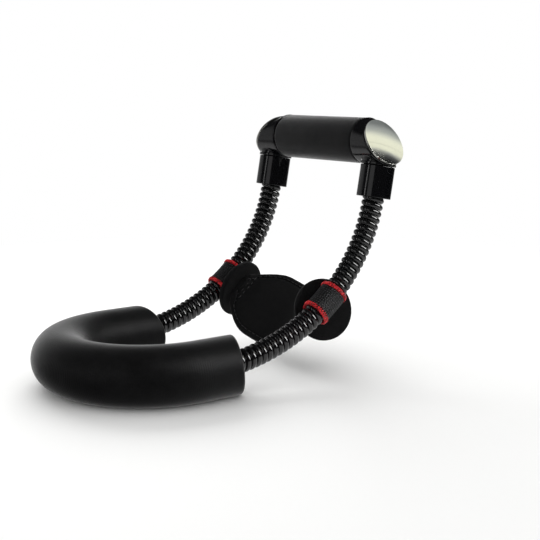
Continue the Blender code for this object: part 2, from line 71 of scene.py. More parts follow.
# The springs' centre line, with the solids' own values. All lengths here are metres, angles degrees.
springLine = {
    "halfSpacing": 0.0546,   # centre plane to a spring
    "exitY": 0.0837,         # where a spring leaves the sleeve
    "exitZ": 0.0188,
    "length": 0.1483,        # sleeve to ferrule, along the curve
    "startAngle": 8.6,
    "endAngle": 79.4,
    "earlyBend": 0.75,       # curvature at the lower end as a share of the mean
    "steps": 60,
}


def springAngle(distance):
    share = min(max(distance / springLine["length"], 0), 1)
    early = springLine["earlyBend"]
    turn = springLine["endAngle"] - springLine["startAngle"]
    return math.radians(springLine["startAngle"] + turn * (early * share + (1 - early) * share * share))


def springPoint(distance, side=0):
    inside = min(max(distance, 0), springLine["length"])
    step = inside / springLine["steps"]
    y = springLine["exitY"]
    z = springLine["exitZ"]
    for index in range(springLine["steps"]):
        angle = springAngle((index + 0.5) * step)
        y += step * math.cos(angle)
        z += step * math.sin(angle)
    over = distance - inside  # straight beyond both ends
    angle = springAngle(distance)
    y += over * math.cos(angle)
    z += over * math.sin(angle)
    return Vector((side * springLine["halfSpacing"], y, z))


def lineFrame(distance, side=0):
    # axes square to the spring: Z runs along it and Y points to the outside of its bend
    turn = Matrix.Rotation(springAngle(distance) - math.pi / 2, 4, "X")
    return Matrix.Translation(springPoint(distance, side)) @ turn


# Colours, nodes and materials

def linear(hexColour):
    parts = [int(hexColour[place:place + 2], 16) / 255 for place in (1, 3, 5)]
    return tuple(c / 12.92 if c <= 0.04045 else ((c + 0.055) / 1.055) ** 2.4 for c in parts) + (1.0,)


def gray(level):
    return (level, level, level, 1.0)


def addNode(tree, kind, values=None, output=0):
    # values are the node's own properties, values of its inputs, or other nodes' outputs to link to them
    node = tree.nodes.new(kind)
    for key, value in (values or {}).items():
        if isinstance(value, bpy.types.NodeSocket):
            tree.links.new(value, node.inputs[key])
        elif isinstance(key, str) and hasattr(node, key):
            setattr(node, key, value)
        else:
            node.inputs[key].default_value = value
    return node.outputs[output]


def newMaterial(name, colour, finish, patterns=None):
    # each pattern is a kind of texture, the size of its grain in metres and its other values
    material = bpy.data.materials.new(name)
    material.use_nodes = True
    tree = material.node_tree
    shader = tree.nodes["Principled BSDF"].inputs
    shader["Base Color"].default_value = linear(colour)
    for key, value in finish.items():
        shader[key].default_value = value
    drawn = {"place": addNode(tree, "ShaderNodeTexCoord", output="Object")}
    for label, (kind, size, values) in (patterns or {}).items():
        drawn[label] = addNode(tree, "ShaderNodeTex" + kind, {
            "Vector": drawn["place"], "Scale": 1 / size, **values})
    return material, tree, drawn


def tonesBy(tree, pattern, stops):
    ramp = addNode(tree, "ShaderNodeValToRGB", {"Fac": pattern})
    points = ramp.node.color_ramp.elements
    while len(points) < len(stops):
        points.new(0.5)
    for point, (place, colour) in zip(points, stops):
        point.position = place
        point.color = linear(colour)
    return ramp


def applyPatterns(tree, drawn, tone=None, rough=None, relief=()):
    # tone: a pattern and its colours; rough: a pattern, its own range and the roughness at both ends of it;
    # relief: patterns, each with its depth and strength
    shader = tree.nodes["Principled BSDF"].inputs
    if tone:
        tree.links.new(tonesBy(tree, drawn[tone[0]], tone[1]), shader["Base Color"])
    if rough:
        labels = ("Value", "From Min", "From Max", "To Min", "To Max")
        values = dict(zip(labels, (drawn[rough[0]], *rough[1:])))
        tree.links.new(addNode(tree, "ShaderNodeMapRange", values), shader["Roughness"])
    before = {}
    for label, depth, strength in relief:
        values = {"Height": drawn[label], "Distance": depth, "Strength": strength}
        before = {"Normal": addNode(tree, "ShaderNodeBump", {**values, **before})}
        tree.links.new(before["Normal"], shader["Normal"])


def ridges(tree, run, pitch):
    # even waves along a run in metres
    turns = addNode(tree, "ShaderNodeMath", {"operation": "MULTIPLY", 0: run, 1: fullTurn / pitch})
    return addNode(tree, "ShaderNodeMath", {"operation": "SINE", 0: turns})


def patternMap(tree, drawn):
    # X runs round a piece and Y along it, both in metres
    return addNode(tree, "ShaderNodeSeparateXYZ", {0: drawn["place"].node.outputs["UV"]}).node.outputs


# Meshes

def circle(radius, sides):
    return [Vector((radius * math.cos(fullTurn * i / sides), radius * math.sin(fullTurn * i / sides), 0))
            for i in range(sides)]


def quarterTurn(steps):
    turns = [math.pi / 2 * step / steps for step in range(steps + 1)]
    return [(math.sin(turn), math.cos(turn)) for turn in turns]


def runningLength(points):
    lengths = [0.0]
    for before, after in zip(points, points[1:]):
        lengths.append(lengths[-1] + (after - before).length)
    return lengths


def softCorners(pairs, radius, steps=4, closed=True):
    # a row of points with each corner rounded, by a curve that starts and ends a radius away
    corners = [Vector((first, second, 0)) for first, second in pairs]
    rounded = []
    count = len(corners)
    for index, corner in enumerate(corners):
        if not closed and index in (0, count - 1):
            rounded.append(corner)
            continue
        before = corners[index - 1] - corner
        after = corners[(index + 1) % count] - corner
        # just under half of a side at most, so that two cuts never meet
        cut = min(radius, 0.49 * before.length, 0.49 * after.length)
        start = corner + before.normalized() * cut
        end = corner + after.normalized() * cut
        for step in range(steps + 1):
            share = step / steps
            rounded.append(start.lerp(corner, share).lerp(corner.lerp(end, share), share))
    return rounded


def ringMesh(name, rings, around=0.0, along=None, loop=False):
    # rings of points joined in a row; the pattern map runs in metres round and along them
    build = bmesh.new()
    pattern = build.loops.layers.uv.new("UVMap")
    rows = [[build.verts.new(point) for point in ring] for ring in rings]
    places = along or [0.0] * len(rings)
    pairs = list(zip(range(len(rows)), range(1, len(rows))))
    if loop:
        pairs.append((len(rows) - 1, 0))
    for first, second in pairs:
        count = len(rows[first])
        for index in range(count):
            after = (index + 1) % count
            face = build.faces.new((rows[first][index], rows[first][after],
                                    rows[second][after], rows[second][index]))
            us = (index, index + 1, index + 1, index)
            vs = (places[first], places[first], places[second], places[second])
            for corner, u, v in zip(face.loops, us, vs):
                corner[pattern].uv = (around * u / count, v)
    if not loop:
        build.faces.new(rows[0])
        build.faces.new(rows[-1])
    bmesh.ops.recalc_face_normals(build, faces=build.faces)
    data = bpy.data.meshes.new(name)
    build.to_mesh(data)
    build.free()
    return data


def turnedRings(profile, sides):
    # profile points are (radius, height)
    return [[Vector((p.x, p.y, point.y)) for p in circle(point.x, sides)] for point in profile]


def joinMeshes(name, parts):
    # several meshes as one, in their own places
    build = bmesh.new()
    for part in parts:
        build.from_mesh(part)
        bpy.data.meshes.remove(part)
    data = bpy.data.meshes.new(name)
    build.to_mesh(data)
    build.free()
    return data


def addPiece(name, data, material, sharpAngle=35):
    data.shade_smooth()
    data.set_sharp_from_angle(angle=math.radians(sharpAngle))
    data.materials.clear()
    data.materials.append(material)
    made = bpy.data.objects.new(name, data)
    bpy.context.scene.collection.objects.link(made)
    return made


def placePiece(made, body, node):
    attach(made, body)
    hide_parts(node)


# Geometry Nodes

def newTree(name, inputs):
    # an input's kind follows from its first value, and None stands for a material
    kinds = {int: "Int", float: "Float", tuple: "Vector", type(None): "Material"}
    tree = bpy.data.node_groups.new(name, "GeometryNodeTree")
    tree.interface.new_socket("Geometry", in_out="INPUT", socket_type="NodeSocketGeometry")
    for label, value in inputs.items():
        kind = "NodeSocket" + kinds[type(value)]
        socket = tree.interface.new_socket(label, in_out="INPUT", socket_type=kind)
        if value is not None:
            socket.default_value = value
    tree.interface.new_socket("Geometry", in_out="OUTPUT", socket_type="NodeSocketGeometry")
    return tree, addNode(tree, "NodeGroupInput").node.outputs


def closeTree(tree, line, sides, radius, material, placing=None):
    # a round tube along the line, set on points where there are any, made real and given its material
    section = addNode(tree, "GeometryNodeCurvePrimitiveCircle", {"Resolution": sides, "Radius": radius})
    shape = addNode(tree, "GeometryNodeCurveToMesh", {
        "Fill Caps": True, "Curve": line, "Profile Curve": section})
    if placing:
        shape = addNode(tree, "GeometryNodeInstanceOnPoints", {"Instance": shape, **placing})
    real = addNode(tree, "GeometryNodeRealizeInstances", {0: shape})
    done = addNode(tree, "GeometryNodeSetMaterial", {0: real, "Material": material})
    tree.links.new(done, tree.nodes.new("NodeGroupOutput").inputs[0])


def stitchTree(name, sizes, corners, steps, uneven=None):
    # one bent strand at even places along a path; a corner of it gives axes, each with a size and its share
    tree, at = newTree(name, {"Count": 1, "Across": (0.0, 0.0, 1.0), "Thread Radius": 0.0002, "Sides": 6,
                              "Material": None, **sizes})
    points = addNode(tree, "GeometryNodeCurveToPoints", {
        "mode": "COUNT", "Curve": at["Geometry"], "Count": at["Count"]}).node.outputs
    turn = addNode(tree, "FunctionNodeAxesToRotation", {
        "primary_axis": "X", "secondary_axis": "Y", "Primary Axis": points["Tangent"],
        "Secondary Axis": at["Across"]})
    strand = {"Resolution": steps}
    for label, corner in zip(("Start", "Start Handle", "End Handle", "End"), corners):
        strand[label] = addNode(tree, "ShaderNodeCombineXYZ", {
            axis: addNode(tree, "ShaderNodeMath", {"operation": "MULTIPLY", 0: at[size], 1: share})
            for axis, size, share in corner})
    line = addNode(tree, "GeometryNodeCurvePrimitiveBezierSegment", strand)
    placing = {"Points": points["Points"], "Rotation": turn}
    if uneven:
        placing["Scale"] = addNode(tree, "FunctionNodeRandomValue", {
            "data_type": "FLOAT", 2: uneven[0], 3: uneven[1], "Seed": at["Seed"]}, 1)
    closeTree(tree, line, at["Sides"], at["Thread Radius"], at["Material"], placing)
    return tree


def pathObject(name, points, cyclic=False):
    curve = bpy.data.curves.new(name, "CURVE")
    curve.dimensions = "3D"
    line = curve.splines.new("POLY")
    line.points.add(len(points) - 1)
    for target, point in zip(line.points, points):
        target.co = (*point, 1)
    line.use_cyclic_u = cyclic
    made = bpy.data.objects.new(name, curve)
    bpy.context.scene.collection.objects.link(made)
    return made


def grownMesh(name, path, tree, values):
    # runs a Geometry Nodes tree on a path and keeps its result as a plain mesh
    change = path.modifiers.new(tree.name, "NODES")
    change.node_group = tree
    for item in tree.interface.items_tree:
        if item.item_type == "SOCKET" and item.in_out == "INPUT" and item.name in values:
            change[item.identifier] = values[item.name]
    evaluated = path.evaluated_get(bpy.context.evaluated_depsgraph_get())
    data = bpy.data.meshes.new_from_object(evaluated)
    data.name = name
    path.modifiers.remove(change)
    bpy.data.objects.remove(path)
    return data


# Camera and studio

camera = {
    "place": (0.5798, -0.2799, 0.1841),
    "azimuth": 53.64,        # 0 looks along +Y, 90 along -X
    "elevation": 9.77,
    "roll": -0.28,
    "lens": 73.59,
    "sensor": 36.0,
    "clip": (0.01, 50),
}


def direction(azimuth, elevation=0):
    # unit vector towards a place round the object; azimuth 0 is where a camera that looks along +Y stands
    a = math.radians(azimuth)
    e = math.radians(elevation)
    return Vector((math.sin(a) * math.cos(e), -math.cos(a) * math.cos(e), math.sin(e)))


def fromCamera(azimuth, elevation=0):
    # the same with azimuth 0 where this scene's camera stands
    return direction(camera["azimuth"] + azimuth, elevation)


def addCamera():
    data = bpy.data.cameras.new("camera")
    data.lens = camera["lens"]
    data.sensor_width = camera["sensor"]
    data.clip_start, data.clip_end = camera["clip"]
    made = bpy.data.objects.new("camera", data)
    back = direction(camera["azimuth"], camera["elevation"])
    level = Vector((0, 0, 1)).cross(back).normalized()
    rise = back.cross(level)
    roll = math.radians(camera["roll"])
    right = level * math.cos(roll) + rise * math.sin(roll)
    up = rise * math.cos(roll) - level * math.sin(roll)
    turn = Matrix((right, up, back)).transposed().to_4x4()
    made.matrix_world = Matrix.Translation(camera["place"]) @ turn
    bpy.context.scene.collection.objects.link(made)
    bpy.context.scene.camera = made


studio = {
    "centre": (0.0, 0.10, 0.07),
    "floorColour": "#F9F9F8",
    "floorRadius": 6.0,
    "floorSides": 96,
    "floorDrop": 0.0001,     # below the object's underside
    "fadeStart": 0.20,       # from the object, where the floor starts to turn into the white backdrop
    "fadeEnd": 0.62,
    "surround": 0.78,        # the white room's light on the object
    "frontTone": 0.02,       # what gloss shows of the dim front of the room
    "backdropEdge": (0.78, 0.93),  # cosines between which the white backdrop behind the object begins
    "backdropTilt": -12.0,   # elevation of its middle
    "panelAzimuth": 98.8,    # pale leaning panel on the caps' side, from the camera
    "panelEdge": (0.82, 0.92),
    "panelUp": (-0.785, -0.079, 0.615),  # the way up the panel
    "panelReach": 0.25,      # half its height, as a sine
    "panelTones": (
        (0.28, "#161617"), (0.35, "#2C2C2E"), (0.42, "#57585B"), (0.485, "#BEBFBC"), (0.52, "#FAFBE8"),
        (0.598, "#FFFFEC"), (0.609, "#C4C6BA"), (0.620, "#FFFFEC"), (0.74, "#FDFEEC"), (0.80, "#E2E4DA"),
        (0.86, "#B7BBB9"), (0.93, "#A3A7A8"), (1.00, "#7C8082")),
    "panelLevel": 1.15,
    "nearFloorTone": 0.04,   # what gloss shows of the floor just in front of the object
    "sideFloorTone": 0.5,    # and of the floor beside it
    "nearFloorWay": (-0.064, 0.998, 0.0),  # it turns from the first tone to the second along this way
    "nearFloorEdge": (-0.14, -0.02),
    "wallAzimuth": -122.0,   # pale wall on the far left, seen in the barrels
    "wallEdge": (0.84, 0.95),
    "wallLevel": 0.32,
    "stripFrom": (54.0, 45.0),  # bright strip that only gloss shows: azimuths from the camera and elevations
    "stripTo": (93.0, 10.0),
    "stripWidth": (0.15, 0.09),
    "stripEnd": 0.02,        # softness of its ends, as a cosine
    "stripLevel": 11.0,
    "lamps": (
        # name, azimuth right of the camera, elevation, distance, width, height, watts, seen in gloss
        ("sideLine", -68.0, 8.0, 1.20, 0.11, 1.10, 0.8, True),
        ("sidePanel", -34.0, 14.0, 1.30, 0.70, 0.90, 1.0, True),
        ("rearPanel", -162.0, 30.0, 1.20, 1.10, 0.70, 13.0, False),
    ),
}


def addLamp(name, azimuth, elevation, distance, width, height, watts, inGloss):
    data = bpy.data.lights.new(name, "AREA")
    data.shape = "RECTANGLE"
    data.size = width
    data.size_y = height
    data.energy = watts
    made = bpy.data.objects.new(name, data)
    away = fromCamera(azimuth, elevation)
    turn = (-away).to_track_quat("-Z", "Y").to_matrix().to_4x4()
    made.matrix_world = Matrix.Translation(Vector(studio["centre"]) + away * distance) @ turn
    made.visible_camera = False
    made.visible_glossy = inGloss
    bpy.context.scene.collection.objects.link(made)


def turnedTo(tree, sight, way, edge):
    # rises from 0 to 1 as the sight turns to the way, between two cosines
    towards = addNode(tree, "ShaderNodeVectorMath", {"operation": "DOT_PRODUCT", 0: sight, 1: way}, "Value")
    return addNode(tree, "ShaderNodeMapRange", {
        "interpolation_type": "SMOOTHSTEP", "Value": towards, "From Min": edge[0], "From Max": edge[1]})


def stripShare(tree, sight):
    first = fromCamera(*studio["stripFrom"])
    last = fromCamera(*studio["stripTo"])
    middle = (first + last).normalized()
    end = middle.dot(first)
    soft = studio["stripEnd"]
    lengthwise = turnedTo(tree, sight, middle, (end - soft, end + soft))
    normal = first.cross(last).normalized()
    off = addNode(tree, "ShaderNodeVectorMath", {"operation": "DOT_PRODUCT", 0: sight, 1: normal}, "Value")
    off = addNode(tree, "ShaderNodeMath", {"operation": "ABSOLUTE", 0: off})
    outer, inner = studio["stripWidth"]
    across = addNode(tree, "ShaderNodeMapRange", {
        "interpolation_type": "SMOOTHSTEP", "Value": off, "From Min": outer, "From Max": inner})
    return addNode(tree, "ShaderNodeMath", {"operation": "MULTIPLY", 0: lengthwise, 1: across})


def roomSeen(tree, sight):
    # what gloss shows in one direction: a dim front, the panel, wall and strip, and the white backdrop
    reach = studio["panelReach"]
    up = addNode(tree, "ShaderNodeVectorMath", {
        "operation": "DOT_PRODUCT", 0: sight, 1: studio["panelUp"]}, "Value")
    up = addNode(tree, "ShaderNodeMapRange", {"Value": up, "From Min": -reach, "From Max": reach})
    panel = addNode(tree, "ShaderNodeVectorMath", {
        "operation": "SCALE", 0: tonesBy(tree, up, studio["panelTones"]), "Scale": studio["panelLevel"]})
    level = addNode(tree, "ShaderNodeVectorMath", {"operation": "MULTIPLY", 0: sight, 1: (1, 1, 0)})
    level = addNode(tree, "ShaderNodeVectorMath", {"operation": "NORMALIZE", 0: level})
    panelWay = fromCamera(studio["panelAzimuth"])
    wallWay = fromCamera(studio["wallAzimuth"])
    backdropWay = fromCamera(180, studio["backdropTilt"])
    room = gray(studio["frontTone"])
    for share, colour in (
            (turnedTo(tree, level, panelWay, studio["panelEdge"]), panel),
            (turnedTo(tree, sight, wallWay, studio["wallEdge"]), gray(studio["wallLevel"])),
            (stripShare(tree, sight), gray(studio["stripLevel"])),
            (turnedTo(tree, sight, backdropWay, studio["backdropEdge"]), gray(1))):
        room = addNode(tree, "ShaderNodeMix", {"data_type": "RGBA", 0: share, 6: room, 7: colour}, 2)
    return room


def splitByRay(tree, kind, plain, seenInGloss, whiteShare, result):
    # white straight from the camera, the room in gloss and the plain surface for all other light
    path = addNode(tree, "ShaderNodeLightPath").node.outputs
    direct = addNode(tree, "ShaderNodeMath", {
        "operation": "MAXIMUM", 0: path["Is Camera Ray"], 1: path["Is Transmission Ray"]})
    share = addNode(tree, "ShaderNodeMath", {"operation": "MULTIPLY", 0: direct, 1: whiteShare})
    white = addNode(tree, kind, {"Color": gray(1)})
    room = addNode(tree, kind, {"Color": seenInGloss})
    rest = addNode(tree, "ShaderNodeMixShader", {0: share, 1: plain, 2: white})
    mixed = addNode(tree, "ShaderNodeMixShader", {0: path["Is Glossy Ray"], 1: rest, 2: room})
    tree.links.new(mixed, tree.nodes[result].inputs["Surface"])


def addFloor():
    material, tree, drawn = newMaterial("studioFloor", studio["floorColour"], {
        "Roughness": 0.9, "Specular IOR Level": 0.1})
    place = drawn["place"]
    away = addNode(tree, "ShaderNodeVectorMath", {"operation": "LENGTH", 0: place}, "Value")
    fade = addNode(tree, "ShaderNodeMapRange", {
        "interpolation_type": "SMOOTHSTEP", "Value": away,
        "From Min": studio["fadeStart"], "From Max": studio["fadeEnd"]})
    outward = addNode(tree, "ShaderNodeVectorMath", {"operation": "NORMALIZE", 0: place})
    seen = addNode(tree, "ShaderNodeMix", {
        "data_type": "RGBA", 0: turnedTo(tree, place, studio["nearFloorWay"], studio["nearFloorEdge"]),
        6: gray(studio["nearFloorTone"]), 7: gray(studio["sideFloorTone"])}, 2)
    seen = addNode(tree, "ShaderNodeMix", {
        "data_type": "RGBA", 0: fade, 6: seen, 7: roomSeen(tree, outward)}, 2)
    shader = tree.nodes["Principled BSDF"].outputs["BSDF"]
    splitByRay(tree, "ShaderNodeEmission", shader, seen, fade, "Material Output")
    build = bmesh.new()
    bmesh.ops.create_circle(build, cap_ends=True, segments=studio["floorSides"], radius=studio["floorRadius"])
    data = bpy.data.meshes.new("studioFloor")
    build.to_mesh(data)
    build.free()
    floor = addPiece("studioFloor", data, material)
    floor.location = (studio["centre"][0], studio["centre"][1], -studio["floorDrop"])


def addWorld():
    world = bpy.data.worlds.new("studioWorld")
    bpy.context.scene.world = world
    world.use_nodes = True
    tree = world.node_tree
    light = tree.nodes["Background"]
    light.inputs["Color"].default_value = gray(1)
    light.inputs["Strength"].default_value = studio["surround"]
    sight = addNode(tree, "ShaderNodeTexCoord", output="Generated")
    splitByRay(tree, "ShaderNodeBackground", light.outputs[0], roomSeen(tree, sight), 1.0, "World Output")


addCamera()
addFloor()
addWorld()
for lamp in studio["lamps"]:
    addLamp(*lamp)
bpy.context.scene.view_settings.view_transform = "Standard"
print("camera and studio ready")

# Armrest: a bent sleeve of nitrile foam over the steel bar
armrest = {
    "diameter": 0.0362,
    "flat": 0.0005,          # depth of the flat it rests on
    "endRound": 0.0020,
    "endSlant": 20,          # the sleeve is longer on its inner side
    "endLean": 6,
    "endInset": 0.0016,
    "legLength": 0.0291,
    "springHole": 0.0147,
    "socketHole": 0.0206,
    "socketStart": 0.0063,   # socket's recess behind the point where a spring comes out
    "socketEnd": 0.0249,
    "barBore": 0.0156,
    "barHeight": 0.0155,
    "sides": 96,
    "roundSteps": 6,
    "legSteps": 12,
    "bendSteps": 80,
    "boreSteps": 40,
    "faceShares": (0.25, 0.5, 0.75),  # rings between an end face's rim and its hole
    "insidePitch": 0.003,    # the pattern map's step from ring to ring inside
    "colour": "#0A0A0B",
    "wornColour": "#111112",
    "poreSize": 0.00045,     # real pores are finer and wouldn't show
    "ringPitch": 0.0011,     # marks left round the sleeve by grinding
    "ringWander": 0.0012,    # how far they stray along it
}


def foamMaterial(name, settings):
    # nitrile foam, extruded and ground to size: matte, fine open pores, faint turned rings, a soft sheen
    material, tree, drawn = newMaterial(name, settings["colour"], {
        "Roughness": 0.46, "Specular IOR Level": 0.15, "Sheen Weight": 0.5, "Sheen Roughness": 0.28}, {
        "pores": ("Voronoi", settings["poreSize"], {}),
        "cloud": ("Noise", 0.0111, {"Detail": 4.0, "Roughness": 0.6}),
        "wander": ("Noise", 0.00714, {"Detail": 2.0})})
    run = addNode(tree, "ShaderNodeMath", {
        "operation": "MULTIPLY_ADD", 0: drawn["wander"], 1: settings["ringWander"],
        2: patternMap(tree, drawn)["Y"]})
    drawn["rings"] = ridges(tree, run, settings["ringPitch"])
    applyPatterns(tree, drawn, tone=("cloud", ((0.35, settings["colour"]), (0.75, settings["wornColour"]))),
                  relief=(("pores", 0.00010, 0.5), ("rings", 0.00004, 0.5)))
    return material


def armrestAxes(turn, run, height):
    # centre and outward direction on the U, turned about its bend and moved out along its legs
    outward = Vector((math.cos(turn), -math.sin(turn), 0))
    return Vector((0, springLine["halfSpacing"] + run, height)) + outward * springLine["halfSpacing"], outward


def sleeveSlant(x, z):
    # how far the slanted end face stands out from the leg's length
    rise = armrest["diameter"] / 2 - armrest["flat"]
    sideways = math.tan(math.radians(armrest["endSlant"])) * (springLine["halfSpacing"] - abs(x))
    upright = math.tan(math.radians(armrest["endLean"])) * (rise - z)
    return sideways + upright - armrest["endInset"]


def sleeveOuter():
    radius = armrest["diameter"] / 2
    edge = armrest["endRound"]
    straight = armrest["legLength"] - edge
    steps = armrest["legSteps"]
    leg = [(straight + edge * sine, 0.0, radius - edge * (1 - cosine))
           for sine, cosine in reversed(quarterTurn(armrest["roundSteps"]))]
    leg += [(straight * (1 - step / steps), 0.0, radius) for step in range(1, steps + 1)]
    steps = armrest["bendSteps"]
    bend = [(0.0, math.pi * step / steps, radius) for step in range(1, steps)]
    otherLeg = [(run, math.pi, size) for run, turn, size in reversed(leg)]
    rings = []
    centres = []
    for run, turn, size in leg + bend + otherLeg:
        centre, outward = armrestAxes(turn, run, radius - armrest["flat"])
        share = min(run / straight, 1)
        ring = []
        for p in circle(size, armrest["sides"]):
            point = centre + outward * p.x + Vector((0, 0, p.y))
            point.y += share * sleeveSlant(point.x, point.z)
            point.z = max(point.z, 0.0)
            ring.append(point)
        rings.append(ring)
        centres.append(centre)
    return rings, runningLength(centres)


def sleeveBore():
    # the sleeve's inside, from the left leg's end to the right leg's
    sides = armrest["sides"]
    radius = armrest["springHole"] / 2
    socket = armrest["socketHole"] / 2
    start = armrest["socketStart"]
    legEnd = springLine["halfSpacing"] + armrest["legLength"]
    lean = math.tan(math.radians(armrest["endLean"]))
    legs = []
    for side in (-1, 1):
        axes = lineFrame(0, side)
        axis = axes.to_3x3() @ Vector((0, 0, 1))
        mouth = []
        for p in circle(radius, sides):
            point = axes @ Vector((side * p.x, p.y, 0))
            reach = (legEnd + sleeveSlant(point.x, point.z) - point.y) / (axis.y + lean * axis.z)
            mouth.append(point + axis * reach)
        leg = [mouth]
        for size, depth in ((radius, start), (socket, start), (socket, armrest["socketEnd"])):
            leg.append([axes @ Vector((side * p.x, p.y, -depth)) for p in circle(size, sides)])
        legs.append(leg)
    bend = []
    for step in range(armrest["boreSteps"] + 1):
        centre, outward = armrestAxes(math.pi * (1 - step / armrest["boreSteps"]), 0, armrest["barHeight"])
        bend.append([centre + outward * p.x - Vector((0, 0, p.y))
                     for p in circle(armrest["barBore"] / 2, sides)])
    back = legEnd - armrest["socketEnd"]
    first, last = ([Vector((p.x, back, p.z)) for p in ring] for ring in (bend[0], bend[-1]))
    return legs[0] + [first] + bend + [last] + legs[1][::-1]


def matchRing(before, ring, every=12):
    # the same ring started and turned so that every twelfth point lies nearest to the ring before
    count = len(ring)
    middle = sum(ring, Vector()) / count
    centre = sum(before, Vector()) / count
    best = None
    for way in (1, -1):
        turned = [ring[(way * index) % count] for index in range(count)]
        for shift in range(count):
            apart = sum(((turned[(index + shift) % count] - middle).normalized()
                         - (before[index] - centre).normalized()).length_squared
                        for index in range(0, count, every))
            if best is None or apart < best[0]:
                best = (apart, [turned[(index + shift) % count] for index in range(count)])
    return best[1]


def makeArmrest():
    outer, along = sleeveOuter()
    inner = sleeveBore()
    faces = []
    for rim, hole in ((outer[-1], inner[0]), (outer[0], inner[-1])):
        matched = matchRing(rim, hole)
        faces.append([[a.lerp(b, share) for a, b in zip(rim, matched)] for share in armrest["faceShares"]])
    rings = outer + faces[0]
    last = outer[-1]
    for ring in inner:
        last = matchRing(last, ring)
        rings.append(last)
    rings += faces[1][::-1]
    further = range(1, len(rings) - len(outer) + 1)
    places = along + [along[-1] + armrest["insidePitch"] * index for index in further]
    data = ringMesh("armrestSleeve", rings, math.pi * armrest["diameter"], places, loop=True)
    made = addPiece("armrest_sleeve", data, foamMaterial("nitrileFoamSleeve", armrest), sharpAngle=40)
    placePiece(made, "frame", "armrest_foam")
    print("armrest sleeve:", len(data.polygons), "faces")


makeArmrest()

# Springs: gloss-black steel wire, each wound as one left-handed coil and shown in two lengths
springs = {
    "wire": 0.0039,
    "pitch": 0.00412,
    "coilRadius": 0.00525,
    "firstTurn": 0.1,        # where round the spring the wire begins, in turns
    "start": -0.0100,        # first curl, inside the socket
    "end": 0.1515,           # last curl, inside the ferrule
    "split": 0.07415,        # under the sling's loop
    "lowerBend": (0.004, 0.066),  # part of each length that bends
    "upperBend": (0.082, 0.144),
    "pathStep": 0.0005,
    "pointsPerCurl": 28,
    "wireSides": 16,
    "colour": "#0A0A0B",
}


def springMaterial():
    # spring steel with a baked black enamel: wet gloss, a little orange peel
    enamel, tree, drawn = newMaterial("bakedEnamelSpring", springs["colour"], {
        "Roughness": 0.12, "IOR": 1.55, "Coat Weight": 1.0, "Coat Roughness": 0.04}, {
        "peel": ("Noise", 0.00111, {"Detail": 2.0}),
        "dust": ("Noise", 0.00455, {"Detail": 5.0})})
    applyPatterns(tree, drawn, rough=("dust", 0.3, 0.8, 0.08, 0.18), relief=(("peel", 0.00001, 0.2),))
    return enamel


def coilTree():
    tree, at = newTree("coiledWire", {
        "Points": 400, "Coil Radius": 0.0054, "Pitch": 0.0039, "Wire Radius": 0.0016, "Wire Sides": 12,
        "Phase": 0.0, "Material": None})
    even = addNode(tree, "GeometryNodeResampleCurve", {"Curve": at["Geometry"], "Count": at["Points"]})
    length = addNode(tree, "GeometryNodeSplineParameter", output="Length")
    turns = addNode(tree, "ShaderNodeMath", {"operation": "DIVIDE", 0: length, 1: at["Pitch"]})
    phase = addNode(tree, "ShaderNodeMath", {
        "operation": "MULTIPLY_ADD", 0: turns, 1: fullTurn, 2: at["Phase"]})
    cosine, sine = (addNode(tree, "ShaderNodeMath", {"operation": operation, 0: phase})
                    for operation in ("COSINE", "SINE"))
    run = addNode(tree, "GeometryNodeInputTangent")
    down = addNode(tree, "ShaderNodeVectorMath", {"operation": "CROSS_PRODUCT", 0: run, 1: (1, 0, 0)})
    lower = addNode(tree, "ShaderNodeVectorMath", {"operation": "SCALE", 0: down, "Scale": cosine})
    sideways = addNode(tree, "ShaderNodeCombineXYZ", {"X": sine})
    radial = addNode(tree, "ShaderNodeVectorMath", {"operation": "ADD", 0: lower, 1: sideways})
    offset = addNode(tree, "ShaderNodeVectorMath", {
        "operation": "SCALE", 0: radial, "Scale": at["Coil Radius"]})
    coil = addNode(tree, "GeometryNodeSetPosition", {"Geometry": even, "Offset": offset})
    closeTree(tree, coil, at["Wire Sides"], at["Wire Radius"], at["Material"])
    return tree


def makeSprings():
    enamel = springMaterial()
    tree = coilTree()
    pitch = springs["pitch"]
    lengths = (
        ("lower", springs["start"], springs["split"], "frame", "springs", springs["lowerBend"]),
        ("upper", springs["split"], springs["end"], "springs", "handle", springs["upperBend"]),
    )
    for side, name in bothSides:
        for label, first, last, before, after, bend in lengths:
            steps = round((last - first) / springs["pathStep"])
            line = [springPoint(first + (last - first) * index / steps, side) for index in range(steps + 1)]
            data = grownMesh(f"spring{label}", pathObject("springPath", line), tree, {
                "Points": round((last - first) / pitch * springs["pointsPerCurl"]), "Pitch": pitch,
                "Coil Radius": springs["coilRadius"], "Wire Radius": springs["wire"] / 2,
                "Wire Sides": springs["wireSides"], "Material": enamel,
                "Phase": fullTurn * (springs["firstTurn"] + (first - springs["start"]) / pitch)})
            made = addPiece(f"spring_{label}_{name}", data, enamel, sharpAngle=60)
            springPoint(bend[0], side)
            springPoint(bend[1], side)
            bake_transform(made)
            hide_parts(f"spring_{name}")
    print("springs wound:", len(data.polygons), "faces in the last length")


makeSprings()

# Ferrules: moulded sleeves over the springs' upper ends
ferrule = {
    "diameter": 0.0220,
    "length": 0.0203,
    "neckBore": 0.0176,
    "springBore": 0.0147,
    "stepHeight": 0.0115,
    "edge": 0.0005,
    "sides": 96,
    "colour": "#08080A",
}


def glossPlastic():
    # injection-moulded ABS from a polished tool: black, high gloss, faint flow waves and handling haze
    plastic, tree, drawn = newMaterial("polishedMouldedAbs", ferrule["colour"], {
        "Roughness": 0.12, "Coat Weight": 0.25, "Coat Roughness": 0.05}, {
        "haze": ("Noise", 0.00625, {"Detail": 6.0, "Roughness": 0.65}),
        "flow": ("Noise", 0.0182, {"Detail": 1.0})})
    applyPatterns(tree, drawn, rough=("haze", 0.35, 0.75, 0.09, 0.20), relief=(("flow", 0.00008, 0.25),))
    return plastic


